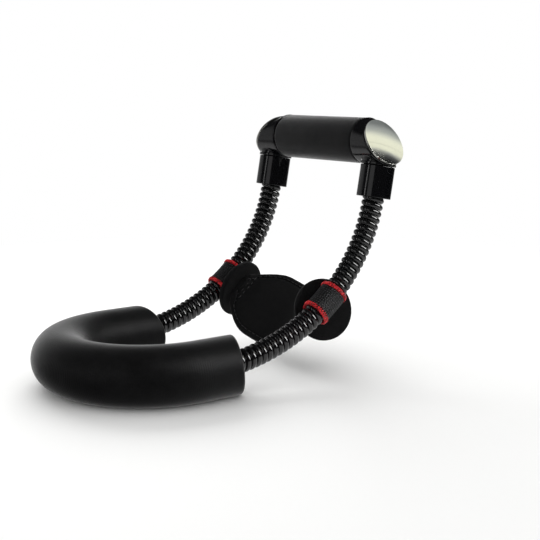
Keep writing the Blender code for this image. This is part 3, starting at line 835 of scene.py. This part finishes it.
plasticMaterial = glossPlastic()


def makeFerrules():
    outer = ferrule["diameter"] / 2
    neck = ferrule["neckBore"] / 2
    spring = ferrule["springBore"] / 2
    profile = softCorners(((outer, 0), (outer, ferrule["length"]), (neck, ferrule["length"]),
                           (neck, ferrule["stepHeight"]), (spring, ferrule["stepHeight"]), (spring, 0)),
                          ferrule["edge"])
    for side, name in bothSides:
        data = ringMesh("ferrule", turnedRings(profile, ferrule["sides"]), loop=True)
        data.transform(lineFrame(springLine["length"], side))
        made = addPiece(f"ferrule_sleeve_{name}", data, plasticMaterial)
        placePiece(made, "handle", f"ferrule_{name}")
    print("ferrules made")


makeFerrules()

# Elbows: a neck that rises from the ferrule into a barrel cut off at a slant
elbow = {
    "handleRise": 0.0359,
    "neck": 0.0212,
    "neckRound": 0.00035,
    "neckFoot": 0.0004,      # straight part of the neck above its collar
    "neckSink": 0.00006,     # how far the neck's top reaches into the barrel
    "neckInside": 0.001,     # its closed end, below the tube
    "collar": 0.0230,
    "collarGap": 0.0003,
    "collarHeight": 0.0016,
    "plug": 0.0170,
    "plugBore": 0.0066,
    "plugDepth": 0.0085,
    "barrel": 0.0298,
    "barrelInset": 0.0138,
    "tubeBore": 0.0196,
    "tubeEndInset": 0.0075,
    "screwHole": 0.0056,
    "web": 0.0022,
    "headRecess": 0.0106,
    "fillet": 0.0011,        # where the neck runs into the barrel
    "filletSteps": 8,
    "edge": 0.0008,
    "edgeShare": 0.02,       # the same edge at the slanted face, as a share of its half width
    "edgeSteps": 5,
    "bodySteps": 12,
    "sides": 96,
}
cap = {
    "width": 0.0310,
    "height": 0.0325,
    "tilt": 57,
    "offset": 0.0029,
    "thickness": 0.0016,
    "crown": 0.001078,
    "crownDrop": 0.0001,
    "crownSteps": 20,
    "backRows": ((0.984, 0.0), (0.994, 0.0001), (1.0, 0.0004)),  # share of the half width, rise from its back
    "edgeShare": 0.006,      # rounded edge, as a share of the half width
    "edgeDepth": 0.0001,
    "edgeSteps": 10,
    "gap": 0.0003,
    "sides": 240,
    "colour": "#DADAD3",
}


def slantedFace(side):
    # centre, upward and outward directions of an elbow's slanted face
    tilt = math.radians(cap["tilt"])
    centre = Vector((side * cap["offset"], 0, elbow["handleRise"]))
    up = Vector((-side * math.cos(tilt), 0, math.sin(tilt)))
    out = Vector((side * math.sin(tilt), 0, math.cos(tilt)))
    return centre, up, out


def ovalRing(scale, lift, sides, side):
    # outline of the slanted face, lifted along its normal; starts at the handle's rear side
    centre, up, out = slantedFace(side)
    return [centre + Vector((0, p.x * cap["width"] / 2 * scale, 0)) + up * (p.y * cap["height"] / 2 * scale)
            + out * lift for p in circle(1, sides)]


def barrelRing(diameter, x):
    return [Vector((x, p.x, elbow["handleRise"] + p.y)) for p in circle(diameter / 2, elbow["sides"])]


def barrelMesh(side):
    edge = elbow["edge"]
    inner = -side * elbow["barrelInset"]
    tubeEnd = -side * elbow["tubeEndInset"]
    webOuter = tubeEnd + side * elbow["web"]
    lift = -(cap["thickness"] + cap["gap"])
    rings = [barrelRing(elbow["screwHole"], tubeEnd), barrelRing(elbow["tubeBore"], tubeEnd),
             barrelRing(elbow["tubeBore"], inner)]
    for sine, cosine in quarterTurn(elbow["edgeSteps"]):
        rings.append(barrelRing(elbow["barrel"] - 2 * edge * (1 - sine), inner + side * edge * (1 - cosine)))
    start = rings[-1]
    shoulder = ovalRing(1.0, lift - edge, elbow["sides"], side)
    for step in range(1, elbow["bodySteps"]):
        rings.append([a.lerp(b, step / elbow["bodySteps"]) for a, b in zip(start, shoulder)])
    for sine, cosine in quarterTurn(elbow["edgeSteps"]):
        scale = 1 - elbow["edgeShare"] * (1 - cosine)
        rings.append(ovalRing(scale, lift - edge * (1 - sine), elbow["sides"], side))
    # the recess for the screw's head runs along the handle and starts in the slanted face
    centre, up, out = slantedFace(side)
    on = centre + out * lift
    recess = barrelRing(elbow["headRecess"], 0)
    rings.append([p + Vector(((on - p).dot(out) / out.x, 0, 0)) for p in recess])
    rings.append(barrelRing(elbow["headRecess"], webOuter))
    rings.append(barrelRing(elbow["screwHole"], webOuter))
    return ringMesh("barrel", rings, loop=True)


def neckMesh(barrel, side):
    radius = elbow["neck"] / 2
    plug = elbow["plug"] / 2
    collar = elbow["collar"] / 2
    collarStart = ferrule["length"] + elbow["collarGap"]
    collarEnd = collarStart + elbow["collarHeight"]
    plugEnd = ferrule["length"] - elbow["plugDepth"]
    profile = softCorners(((elbow["plugBore"] / 2, plugEnd), (plug, plugEnd), (plug, collarStart),
                           (collar, collarStart), (collar, collarEnd), (radius, collarEnd),
                           (radius, collarEnd + elbow["neckFoot"])), elbow["neckRound"], closed=False)
    rings = turnedRings(profile, elbow["sides"])
    # the neck's top follows the barrel's underside
    build = bmesh.new()
    build.from_mesh(barrel)
    under = BVHTree.FromBMesh(build)
    build.free()
    fillet = elbow["fillet"]
    for sine, cosine in quarterTurn(elbow["filletSteps"]):
        ring = []
        for p in circle(radius + fillet * (1 - cosine), elbow["sides"]):
            hit = under.ray_cast(Vector((p.x, p.y, 0)), Vector((0, 0, 1)))[0]
            top = hit.z if hit else elbow["handleRise"] - math.sqrt((elbow["barrel"] / 2) ** 2 - p.y * p.y)
            ring.append(Vector((p.x, p.y, top - fillet * (1 - sine) + elbow["neckSink"])))
        rings.append(ring)
    closed = elbow["handleRise"] - elbow["tubeBore"] / 2 - elbow["neckInside"]
    rings.append([Vector((p.x, p.y, closed)) for p in circle(radius / 2, elbow["sides"])])
    data = ringMesh("neck", rings)
    # the slanted face's plane cuts the neck's outer side
    centre, up, out = slantedFace(side)
    on = centre - out * (cap["thickness"] + cap["gap"] + elbow["edge"])
    build = bmesh.new()
    build.from_mesh(data)
    everything = build.verts[:] + build.edges[:] + build.faces[:]
    bmesh.ops.bisect_plane(build, geom=everything, dist=1e-6, plane_co=on, plane_no=out, clear_outer=True)
    rim = [edge for edge in build.edges if edge.is_boundary]
    bmesh.ops.holes_fill(build, edges=rim, sides=0)
    bmesh.ops.recalc_face_normals(build, faces=build.faces)
    build.to_mesh(data)
    build.free()
    return data


def capMaterial():
    # vacuum-metallised and lacquered ABS: a warm mirror with slight waves and fine wiping marks
    mirror, tree, drawn = newMaterial("metallisedCap", cap["colour"], {"Metallic": 1.0, "Roughness": 0.07}, {
        "waves": ("Noise", 0.0143, {"Detail": 2.0}),
        "marks": ("Noise", 0.000667, {"Detail": 3.0}),
        "haze": ("Noise", 0.00909, {"Detail": 5.0, "Roughness": 0.7})})
    applyPatterns(tree, drawn, rough=("haze", 0.35, 0.8, 0.05, 0.16),
                  relief=(("waves", 0.00012, 0.25), ("marks", 0.000005, 0.3)))
    return mirror


def capRows():
    # share of the half width and height of each ring, from the cap's back to the middle of its crown
    start = 1 - cap["edgeShare"]
    crown = []
    for step in range(cap["crownSteps"]):
        share = start * (1 - step / cap["crownSteps"])
        crown.append((share, cap["crown"] * (1 - share * share) - cap["crownDrop"]))
    top = crown[0][1]
    rows = [(share, rise - cap["thickness"]) for share, rise in cap["backRows"]]
    rows += [(start + cap["edgeShare"] * cosine, top - cap["edgeDepth"] * (1 - sine))
             for sine, cosine in quarterTurn(cap["edgeSteps"])[:-1]]
    return rows + crown


def makeElbows():
    mirror = capMaterial()
    for side, name in bothSides:
        barrel = barrelMesh(side)
        data = joinMeshes("elbow", [neckMesh(barrel, side), barrel])
        data.transform(lineFrame(springLine["length"], side))
        made = addPiece(f"corner_elbow_{name}", data, plasticMaterial)
        placePiece(made, "handle", f"elbow_{name}")
        data = ringMesh("cap", [ovalRing(scale, lift, cap["sides"], side) for scale, lift in capRows()])
        data.transform(lineFrame(springLine["length"], side))
        made = addPiece(f"plated_cap_{name}", data, mirror, sharpAngle=50)
        placePiece(made, "handle", f"elbow_cap_{name}")
    print("elbows and caps made")


makeElbows()

# Handle's grip: a foam tube between the elbows
grip = {
    "diameter": 0.0295,
    "bore": 0.0196,
    "halfLength": 0.0405,
    "endRound": 0.0020,
    "roundSteps": 6,
    "sides": 80,
    "colour": "#131314",
    "wornColour": "#1C1C1D",
    "poreSize": 0.00045,
    "ringPitch": 0.0009,
    "ringWander": 0.0012,
}


def makeGrip():
    outer = grip["diameter"] / 2
    bore = grip["bore"] / 2
    half = grip["halfLength"]
    profile = softCorners(((outer, -half), (outer, half), (bore, half), (bore, -half)),
                          grip["endRound"], grip["roundSteps"])
    along = [point.y for point in profile]
    rings = turnedRings(profile, grip["sides"])
    data = ringMesh("grip", rings, math.pi * grip["diameter"], along, loop=True)
    data.transform(Matrix.Translation((0, 0, elbow["handleRise"])) @ Matrix.Rotation(math.pi / 2, 4, "Y"))
    data.transform(lineFrame(springLine["length"]))
    made = addPiece("grip_sleeve", data, foamMaterial("nitrileFoamGrip", grip), sharpAngle=40)
    placePiece(made, "handle", "handle_grip")
    print("grip made")


makeGrip()

# Wrist sling: two webbing loops on the springs, two round pads and the padded band between them
sling = {
    "station": 0.0723,
    "springBore": 0.0147,
    "webbing": 0.0013,
    "webLength": 0.0160,
    "bindingWidth": 0.0021,
    "bindingProud": 0.0004,
    "footWidth": 0.0130,     # flat side that is sewn to a round pad
    "footBlend": 0.0024,
    "disc": 0.0396,
    "discThickness": 0.0034,
    "discRound": 0.0012,
    "roundSteps": 6,
    "discTilt": 20,
    "discDrop": 0.0050,
    "discSteps": 14,
    "gap": 0.0003,
    "sides": 96,
    "ribPitch": 0.0016,
    "ribHeight": 0.00014,
    "ribSteps": 6,
    "warpPitch": 0.0016,     # a real thread is finer and wouldn't show
    "warpShare": 0.5,        # the warp threads' own height, against that of the crossings
    "weaveRange": (-1.2, 1.6),
    "webColour": "#141416",
    "webPaintedShade": "#050506",
    # painted shade for the weave's valleys and a painted highlight for its crests
    "webPaintedHighlight": "#3C3C40",
    "discColour": "#060607",
    "lintColour": "#121213",
    "threadColour": "#DE1622",
    "threadPaintedShade": "#5E0509",
# darker red of painted shade, meant for the gaps between strands
}
slingRadius = springLine["length"] / math.radians(
    (springLine["endAngle"] - springLine["startAngle"])
    * (springLine["earlyBend"] + 2 * (1 - springLine["earlyBend"]) * sling["station"] / springLine["length"]))
slingFrame = lineFrame(sling["station"])
loopInner = sling["springBore"] / 2
loopOuter = loopInner + sling["webbing"]
loopReach = loopOuter + sling["bindingProud"]


def hung(point, side):
    # turned about the spring to the tilt at which the discs hang, and moved to that spring
    turn = -side * math.radians(sling["discTilt"])
    x = point.x * math.cos(turn) - point.y * math.sin(turn)
    y = point.x * math.sin(turn) + point.y * math.cos(turn)
    return Vector((side * springLine["halfSpacing"] + x, y, point.z))


def loopRing(radius, foot, side, distance, sides=sling["sides"]):
    # outline of the webbing round a spring, with its flat sewn side, square to the curve
    turn = Matrix.Rotation(distance / slingRadius, 4, "X")
    pivot = Vector((0, -slingRadius, 0))
    blend = sling["footBlend"]
    ring = []
    for p in circle(radius, sides):
        x = p.x
        if foot and side * p.x < 0:
            share = min(max(((sling["footWidth"] + blend) / 2 - abs(p.y)) / blend, 0), 1)
            share = share * share * (3 - 2 * share)
            x = p.x + (-side * foot - p.x) * share
        point = hung(Vector((x, p.y, 0)), side)
        ring.append(pivot + turn @ (point - pivot))
    return ring


def webMaterial():
    # woven polyester tape: ribs across it, each crossed by fine warp threads; painted shade darkens the
    # weave's valleys and a painted highlight lightens its crests
    tape, tree, drawn = newMaterial("wovenPolyesterTape", sling["webColour"], {
        "Roughness": 0.48, "Specular IOR Level": 0.5, "Sheen Weight": 0.04, "Sheen Roughness": 0.4}, {
        "fuzz": ("Noise", 0.000385, {"Detail": 3.0})})
    around = patternMap(tree, drawn)
    warp = ridges(tree, around["X"], sling["warpPitch"])
    weft = ridges(tree, around["Y"], sling["ribPitch"])
    cells = addNode(tree, "ShaderNodeMath", {"operation": "MULTIPLY", 0: warp, 1: weft})
    drawn["weave"] = addNode(tree, "ShaderNodeMath", {
        "operation": "MULTIPLY_ADD", 0: warp, 1: sling["warpShare"], 2: cells})
    valley, top = sling["weaveRange"]
    drawn["level"] = addNode(tree, "ShaderNodeMapRange", {
        "Value": drawn["weave"], "From Min": valley, "From Max": top})
    # painted light: the weave's height sets the colour, dark in its valleys and pale on its crests
    applyPatterns(tree, drawn, tone=("level", ((0.50, sling["webPaintedShade"]), (0.92, sling["webPaintedHighlight"]))),
                  relief=(("weave", 0.00016, 0.9), ("fuzz", 0.00004, 0.4)))
    return tape


def clothMaterial(name, colour):
    # knitted polyester bonded to foam: deep matte black with a fine grain
    cloth, tree, drawn = newMaterial(name, colour, {
        "Roughness": 0.85, "Specular IOR Level": 0.14, "Sheen Weight": 0.05, "Sheen Roughness": 0.5}, {
        "grain": ("Voronoi", 0.000625, {}),
        "lint": ("Noise", 0.003125, {"Detail": 5.0, "Roughness": 0.7})})
    applyPatterns(tree, drawn, tone=("lint", ((0.35, colour), (0.8, sling["lintColour"]))),
                  relief=(("grain", 0.00012, 0.5), ("lint", 0.00008, 0.4)))
    return cloth


def threadMaterial():
    # texturised red polyester thread: soft gloss; a noise mottles it with a darker red, painted shade meant
    # for the gaps between strands, though laid on at random rather than where the gaps are
    thread, tree, drawn = newMaterial("overlockThread", sling["threadColour"], {
        "Roughness": 0.42, "Sheen Weight": 0.08, "Sheen Roughness": 0.4}, {
        "fibres": ("Noise", 0.00111, {"Detail": 4.0})})
    applyPatterns(tree, drawn, tone=("fibres", ((0.38, sling["threadPaintedShade"]), (0.58, sling["threadColour"]))),
                  relief=(("fibres", 0.00006, 0.6),))
    return thread


def makeLoops():
    tape = webMaterial()
    half = sling["webLength"] / 2
    stations = sling["ribSteps"] * round(sling["webLength"] / sling["ribPitch"])
    for side, name in bothSides:
        rings = []
        along = []
        for index in range(stations + 1):
            distance = -half + sling["webLength"] * index / stations
            rib = sling["ribHeight"] * math.sin(fullTurn * index / sling["ribSteps"])
            rings.append(loopRing(loopOuter + rib, loopReach, side, distance))
            along.append(distance)
        for distance in (half, 0.0, -half):
            rings.append(loopRing(loopInner, 0, side, distance))
            along.append(distance)
        data = ringMesh("loop", rings, fullTurn * loopOuter, along, loop=True)
        data.transform(slingFrame)
        made = addPiece(f"webbing_loop_{name}", data, tape)
        placePiece(made, "sling", f"strap_loop_{name}")
    print("webbing loops made")


makeLoops()

# Overlocked edges of the loops
stitch = {
    "thread": 0.00088,
    "pitch": 0.00160,
    "lean": 0.00160,         # how far a strand slants along the edge
    "sides": 8,
    "steps": 7,
    "seed": 4,
    "uneven": (0.88, 1.14),  # least and greatest size of a strand
    "strand": (              # corners from the cloth, over the edge and down its end: axis, size, share of it
        (("X", "Lean", -0.5), ("Y", "Width", -0.5)),
        (("Y", "Width", 0.1), ("Z", "Thread Radius", 0.2)),
        (("X", "Lean", 0.5), ("Y", "Width", 0.62), ("Z", "Thread Radius", 0.2)),
        (("X", "Lean", 1.0), ("Y", "Width", 0.42), ("Z", "Depth", -0.85)),
    ),
    "strandDrop": 0.0003,    # the strands' line below the edge's surface
    "pathSides": 160,
    "coreDrop": 0.0007,      # soft core under the strands, below the edge's surface
    "coreInset": 0.0004,
    "coreLift": 0.0001,      # its inner side above the webbing's
    "coreRound": 0.0004,
    "coreSteps": 3,
    "coreFlat": 0.0006,      # only what lies further out is flat at the sewn side
}


def edgeCore(side, way, middle):
    # fills the space under the strands, so that no gap shows through the edge
    outer = loopReach - stitch["coreDrop"]
    inner = loopInner + stitch["coreLift"]
    near = -sling["bindingWidth"] / 2
    far = sling["bindingWidth"] / 2 - stitch["coreInset"]
    rings = []
    for corner in softCorners(((outer, near), (outer, far), (inner, far), (inner, near)),
                              stitch["coreRound"], stitch["coreSteps"]):
        foot = corner.x if corner.x > loopInner + stitch["coreFlat"] else 0
        rings.append(loopRing(corner.x, foot, side, way * (middle + corner.y)))
    return ringMesh("edgeCore", rings, loop=True)


def makeBindings():
    thread = threadMaterial()
    tree = stitchTree("overlockEdge", {"Width": 0.0021, "Depth": 0.0015, "Lean": 0.0005, "Seed": 4},
                      stitch["strand"], stitch["steps"], stitch["uneven"])
    middle = sling["webLength"] / 2 + sling["gap"] + sling["bindingWidth"] / 2
    reach = loopReach - stitch["strandDrop"]
    for side, name in bothSides:
        for label, way in (("lower", -1), ("upper", 1)):
            core = edgeCore(side, way, middle)
            path = loopRing(reach, reach, side, way * middle, stitch["pathSides"])
            across = Matrix.Rotation(way * middle / slingRadius, 3, "X") @ Vector((0, 0, way))
            outward = (path[1] - path[0]).cross(across)
            length = runningLength(path)[-1]
            if outward.dot(path[0] - sum(path, Vector()) / len(path)) < 0:
                path.reverse()  # so that the strands lie on the outside
            strands = grownMesh("edgeStrands", pathObject("edgePath", path, True), tree, {
                "Count": round(length / stitch["pitch"]), "Width": sling["bindingWidth"],
                "Depth": sling["webbing"], "Lean": stitch["lean"], "Thread Radius": stitch["thread"] / 2,
                "Sides": stitch["sides"], "Across": tuple(across), "Seed": stitch["seed"],
                "Material": thread})
            data = joinMeshes("edge", [core, strands])
            data.transform(slingFrame)
            made = addPiece(f"overlock_edge_{label}_{name}", data, thread, sharpAngle=60)
            placePiece(made, "sling", f"binding_{label}_{name}")
    print("overlocked edges made:", len(data.polygons), "faces each")


makeBindings()


def makeDiscs():
    cloth = clothMaterial("bondedKnitDisc", sling["discColour"])
    half = sling["discThickness"] / 2
    radius = sling["disc"] / 2
    edge = softCorners(((0.0, half), (radius, half), (radius, -half), (0.0, -half)),
                       sling["discRound"], sling["roundSteps"], closed=False)[1:-1]
    steps = sling["discSteps"]
    flat = [edge[0].x * (index + 1) / (steps + 1) for index in range(steps)]
    rows = [Vector((r, half, 0)) for r in flat] + edge + [Vector((r, -half, 0)) for r in reversed(flat)]
    for side, name in bothSides:
        rings = []
        for row in rows:
            away = -side * (loopReach + sling["gap"] + half) + row.y
            rings.append([hung(Vector((away, sling["discDrop"] + p.x, p.y)), side)
                          for p in circle(row.x, sling["sides"])])
        data = ringMesh("disc", rings)
        data.transform(slingFrame)
        made = addPiece(f"round_pad_{name}", data, cloth)
        placePiece(made, "sling", f"side_disc_{name}")
    print("round pads made")


makeDiscs()

# Padded band under the wrist
band = {
    "thickness": 0.0040,
    "crown": 0.0008,
    "endWidth": 0.0180,
    "middleWidth": 0.0540,
    "topRise": 0.0080,
    "sewnLength": 0.0100,
    "taperLength": 0.0300,
    "depth": 0.0290,
    "wristDrop": -0.0010,
    "bendShare": 0.4,        # how much of each straight side a bend takes up
    "straightSteps": 6,
    "bendSteps": 8,
    "wristSteps": 24,
    "acrossSteps": 16,
    "colour": "#0D0D0E",
    "threadColour": "#1A1A1C",
    "tapeProfile": (         # distance from the band's edge and share of its half thickness
        (0.0, 0.10), (0.00015, 0.42), (0.0005, 0.66), (0.0011, 0.80), (0.0020, 0.85), (0.0030, 0.85),
        (0.0036, 0.82), (0.0039, 0.66), (0.0042, 0.54), (0.0046, 0.64), (0.0054, 0.80), (0.0068, 0.93)),
    "seamInset": 0.0032,     # stitch row on the edge tape, from the band's edge
    "endRows": (0.0030, 0.0072),
    "endRowInset": 0.0046,
    "endRowSteps": 8,
    "stitch": 0.0025,
    "stitchPitch": 0.0034,
    "thread": 0.00045,
    "threadSides": 5,
    "threadSteps": 6,
    "strand": (              # corners out of the cloth, over it and back in: axis, size, share of it
        (("X", "Stitch", -0.5), ("Z", "Thread Radius", -1.2)),
        (("X", "Stitch", -0.4), ("Z", "Thread Radius", 1.1)),
        (("X", "Stitch", 0.4), ("Z", "Thread Radius", 1.1)),
        (("X", "Stitch", 0.5), ("Z", "Thread Radius", -1.2)),
    ),
}


def bandLine():
    # centre line in the sling's cross plane, from the right disc to the left one
    inset = loopReach + 2 * sling["gap"] + sling["discThickness"] + band["thickness"] / 2
    top = hung(Vector((-inset, sling["discDrop"] - band["topRise"], 0)), 1)
    tilt = math.radians(sling["discTilt"])
    bend = top + Vector((math.sin(tilt), math.cos(tilt), 0)) * band["sewnLength"]
    wristRadius = band["depth"] - band["wristDrop"]
    reach = math.hypot(bend.x, bend.y - band["wristDrop"])
    firstTurn = math.atan2(bend.y - band["wristDrop"], bend.x) + math.acos(wristRadius / reach)

    def underWrist(turn):
        return Vector((wristRadius * math.cos(turn), band["wristDrop"] + wristRadius * math.sin(turn), 0))

    touch = underWrist(firstTurn)
    before = bend.lerp(top, band["bendShare"])
    after = bend.lerp(touch, band["bendShare"])
    straight = [index / band["straightSteps"] for index in range(band["straightSteps"])]
    line = [top.lerp(before, share) for share in straight]
    for index in range(band["bendSteps"]):
        share = index / band["bendSteps"]
        line.append(before.lerp(bend, share).lerp(bend.lerp(after, share), share))
    line += [after.lerp(touch, share) for share in straight]
    steps = band["wristSteps"]
    line += [underWrist(firstTurn + (math.pi / 2 - firstTurn) * index / steps) for index in range(steps + 1)]
    return line + [Vector((-p.x, p.y, 0)) for p in reversed(line[:-1])]


def bandHeight(fromEdge, width, crown):
    # half thickness: a folded tape along the edge, the valley of its seam, then the fuller padding
    half = band["thickness"] / 2
    profile = band["tapeProfile"]
    for (near, low), (far, high) in zip(profile, profile[1:]):
        if fromEdge <= far:
            return half * (low + (high - low) * (fromEdge - near) / (far - near))
    tape, full = profile[-1]
    place = 1 - (fromEdge - tape) / (width - tape)
    return half * (1 - (1 - full) * place ** 4) + crown * (1 - place * place)


def bandSection(width, crown):
    steps = band["acrossSteps"]
    edge = [distance for distance, height in band["tapeProfile"]]
    places = edge + [edge[-1] + 2 * (width - edge[-1]) * index / steps for index in range(1, steps)]
    places += [2 * width - distance for distance in reversed(edge)]
    upper = [(width - place, bandHeight(min(place, 2 * width - place), width, crown)) for place in places]
    return upper + [(offset, -height) for offset, height in reversed(upper)]


def bandStations():
    # places along the band: running length, centre, running and outward directions, half width and crown
    line = bandLine()
    lengths = runningLength(line)
    stations = []
    for index, (centre, walked) in enumerate(zip(line, lengths)):
        grown = math.sin(math.pi / 2 * min(min(walked, lengths[-1] - walked) / band["taperLength"], 1))
        width = (band["endWidth"] + (band["middleWidth"] - band["endWidth"]) * grown) / 2
        run = (line[min(index + 1, len(line) - 1)] - line[max(index - 1, 0)]).normalized()
        stations.append((walked, centre, run, Vector((run.y, -run.x, 0)), width, band["crown"] * grown))
    return stations


def stitchRow(tree, thread, path, across):
    return grownMesh("row", pathObject("rowPath", path), tree, {
        "Count": round(runningLength(path)[-1] / band["stitchPitch"]), "Stitch": band["stitch"],
        "Thread Radius": band["thread"] / 2, "Sides": band["threadSides"], "Across": tuple(across),
        "Material": thread})


def makeStitching(stations):
    # bonded nylon: a smooth, slightly shiny round thread
    thread = newMaterial("bondedNylonThread", band["threadColour"], {
        "Roughness": 0.42, "Sheen Weight": 0.1})[0]
    tree = stitchTree("lockStitches", {"Stitch": 0.0025}, band["strand"], band["threadSteps"])
    rows = []
    inset = band["seamInset"]
    for edge in (-1, 1):
        for face in (-1, 1):
            path = []
            for walked, centre, run, out, width, crown in stations[1:-1]:
                height = bandHeight(inset, width, crown)
                path.append(centre + out * face * height + Vector((0, 0, edge * (width - inset))))
            rows.append(stitchRow(tree, thread, path, (0, 0, face)))
    total = stations[-1][0]
    steps = band["endRowSteps"]
    for side in (1, -1):
        for distance in band["endRows"]:
            place = distance if side > 0 else total - distance
            nearest = min(stations, key=lambda station: abs(station[0] - place))
            walked, centre, run, out, width, crown = nearest
            face = -side if out.x > 0 else side  # the face turned to the wrist, not the one on the round pad
            path = []
            for step in range(-steps, steps + 1):
                offset = (width - band["endRowInset"]) * step / steps
                height = bandHeight(width - abs(offset), width, crown)
                path.append(centre + out * face * height + Vector((0, 0, offset)))
            rows.append(stitchRow(tree, thread, path, run * -face))
    data = joinMeshes("stitching", rows)
    data.transform(slingFrame)
    made = addPiece("wrist_band_stitching", data, thread, sharpAngle=60)
    placePiece(made, "sling", "wrist_pad")
    return len(data.polygons)


def makeBand():
    stations = bandStations()
    rings = []
    for walked, centre, run, out, width, crown in stations:
        rings.append([centre + out * depth + Vector((0, 0, offset))
                      for offset, depth in bandSection(width, crown)])
    data = ringMesh("band", rings, 2 * band["middleWidth"], [station[0] for station in stations])
    data.transform(slingFrame)
    made = addPiece("wrist_band_pad", data, clothMaterial("bondedKnitBand", band["colour"]), sharpAngle=50)
    placePiece(made, "sling", "wrist_pad")
    print("wrist band made, stitching faces:", makeStitching(stations))


makeBand()

# Pieces inside, which keep their solids
inside = {
    "steel": "#B9BABB",
    "steelRoughness": 0.34,
    "aluminium": "#C9CACC",
    "aluminiumRoughness": 0.30,
    "roughSpread": (-0.08, 0.14),
    "grainSize": (0.0167, 0.000417, 0.000417),  # long streaks along the bar
    "nylon": "#26262A",
}


def metalMaterial(name, colour, roughness):
    # drawn and machined bar: fine lengthwise grain with duller patches
    metal, tree, drawn = newMaterial(name, colour, {"Metallic": 1.0, "Roughness": roughness}, {
        "patches": ("Noise", 0.00833, {"Detail": 3.0})})
    stretch = addNode(tree, "ShaderNodeMapping", {
        "Vector": drawn["place"], "Scale": [1 / size for size in inside["grainSize"]]})
    drawn["grain"] = addNode(tree, "ShaderNodeTexNoise", {"Vector": stretch, "Scale": 1.0, "Detail": 3.0})
    least, most = (roughness + change for change in inside["roughSpread"])
    applyPatterns(tree, drawn, rough=("patches", 0, 1, least, most), relief=(("grain", 0.00002, 0.4),))
    return metal


def dressInside():
    steel = metalMaterial("drawnSteel", inside["steel"], inside["steelRoughness"])
    aluminium = metalMaterial("drawnAluminium", inside["aluminium"], inside["aluminiumRoughness"])
    # moulded nylon: dull, with a fine spark-eroded grain
    nylon, tree, drawn = newMaterial("mouldedNylon", inside["nylon"], {"Roughness": 0.5}, {
        "grain": ("Noise", 0.00143, {"Detail": 3.0})})
    applyPatterns(tree, drawn, relief=(("grain", 0.00003, 0.4),))
    finishes = (("u_bar", steel), ("bar_socket", steel), ("spring_stud", steel), ("handle_screw", steel),
                ("handle_tube", aluminium), ("tube_insert", nylon))
    for node, made in cadNodes.items():
        for start, material in finishes:
            if node.startswith(start):
                made.data.materials.clear()
                made.data.materials.append(material)
    print("inner pieces dressed")


dressInside()
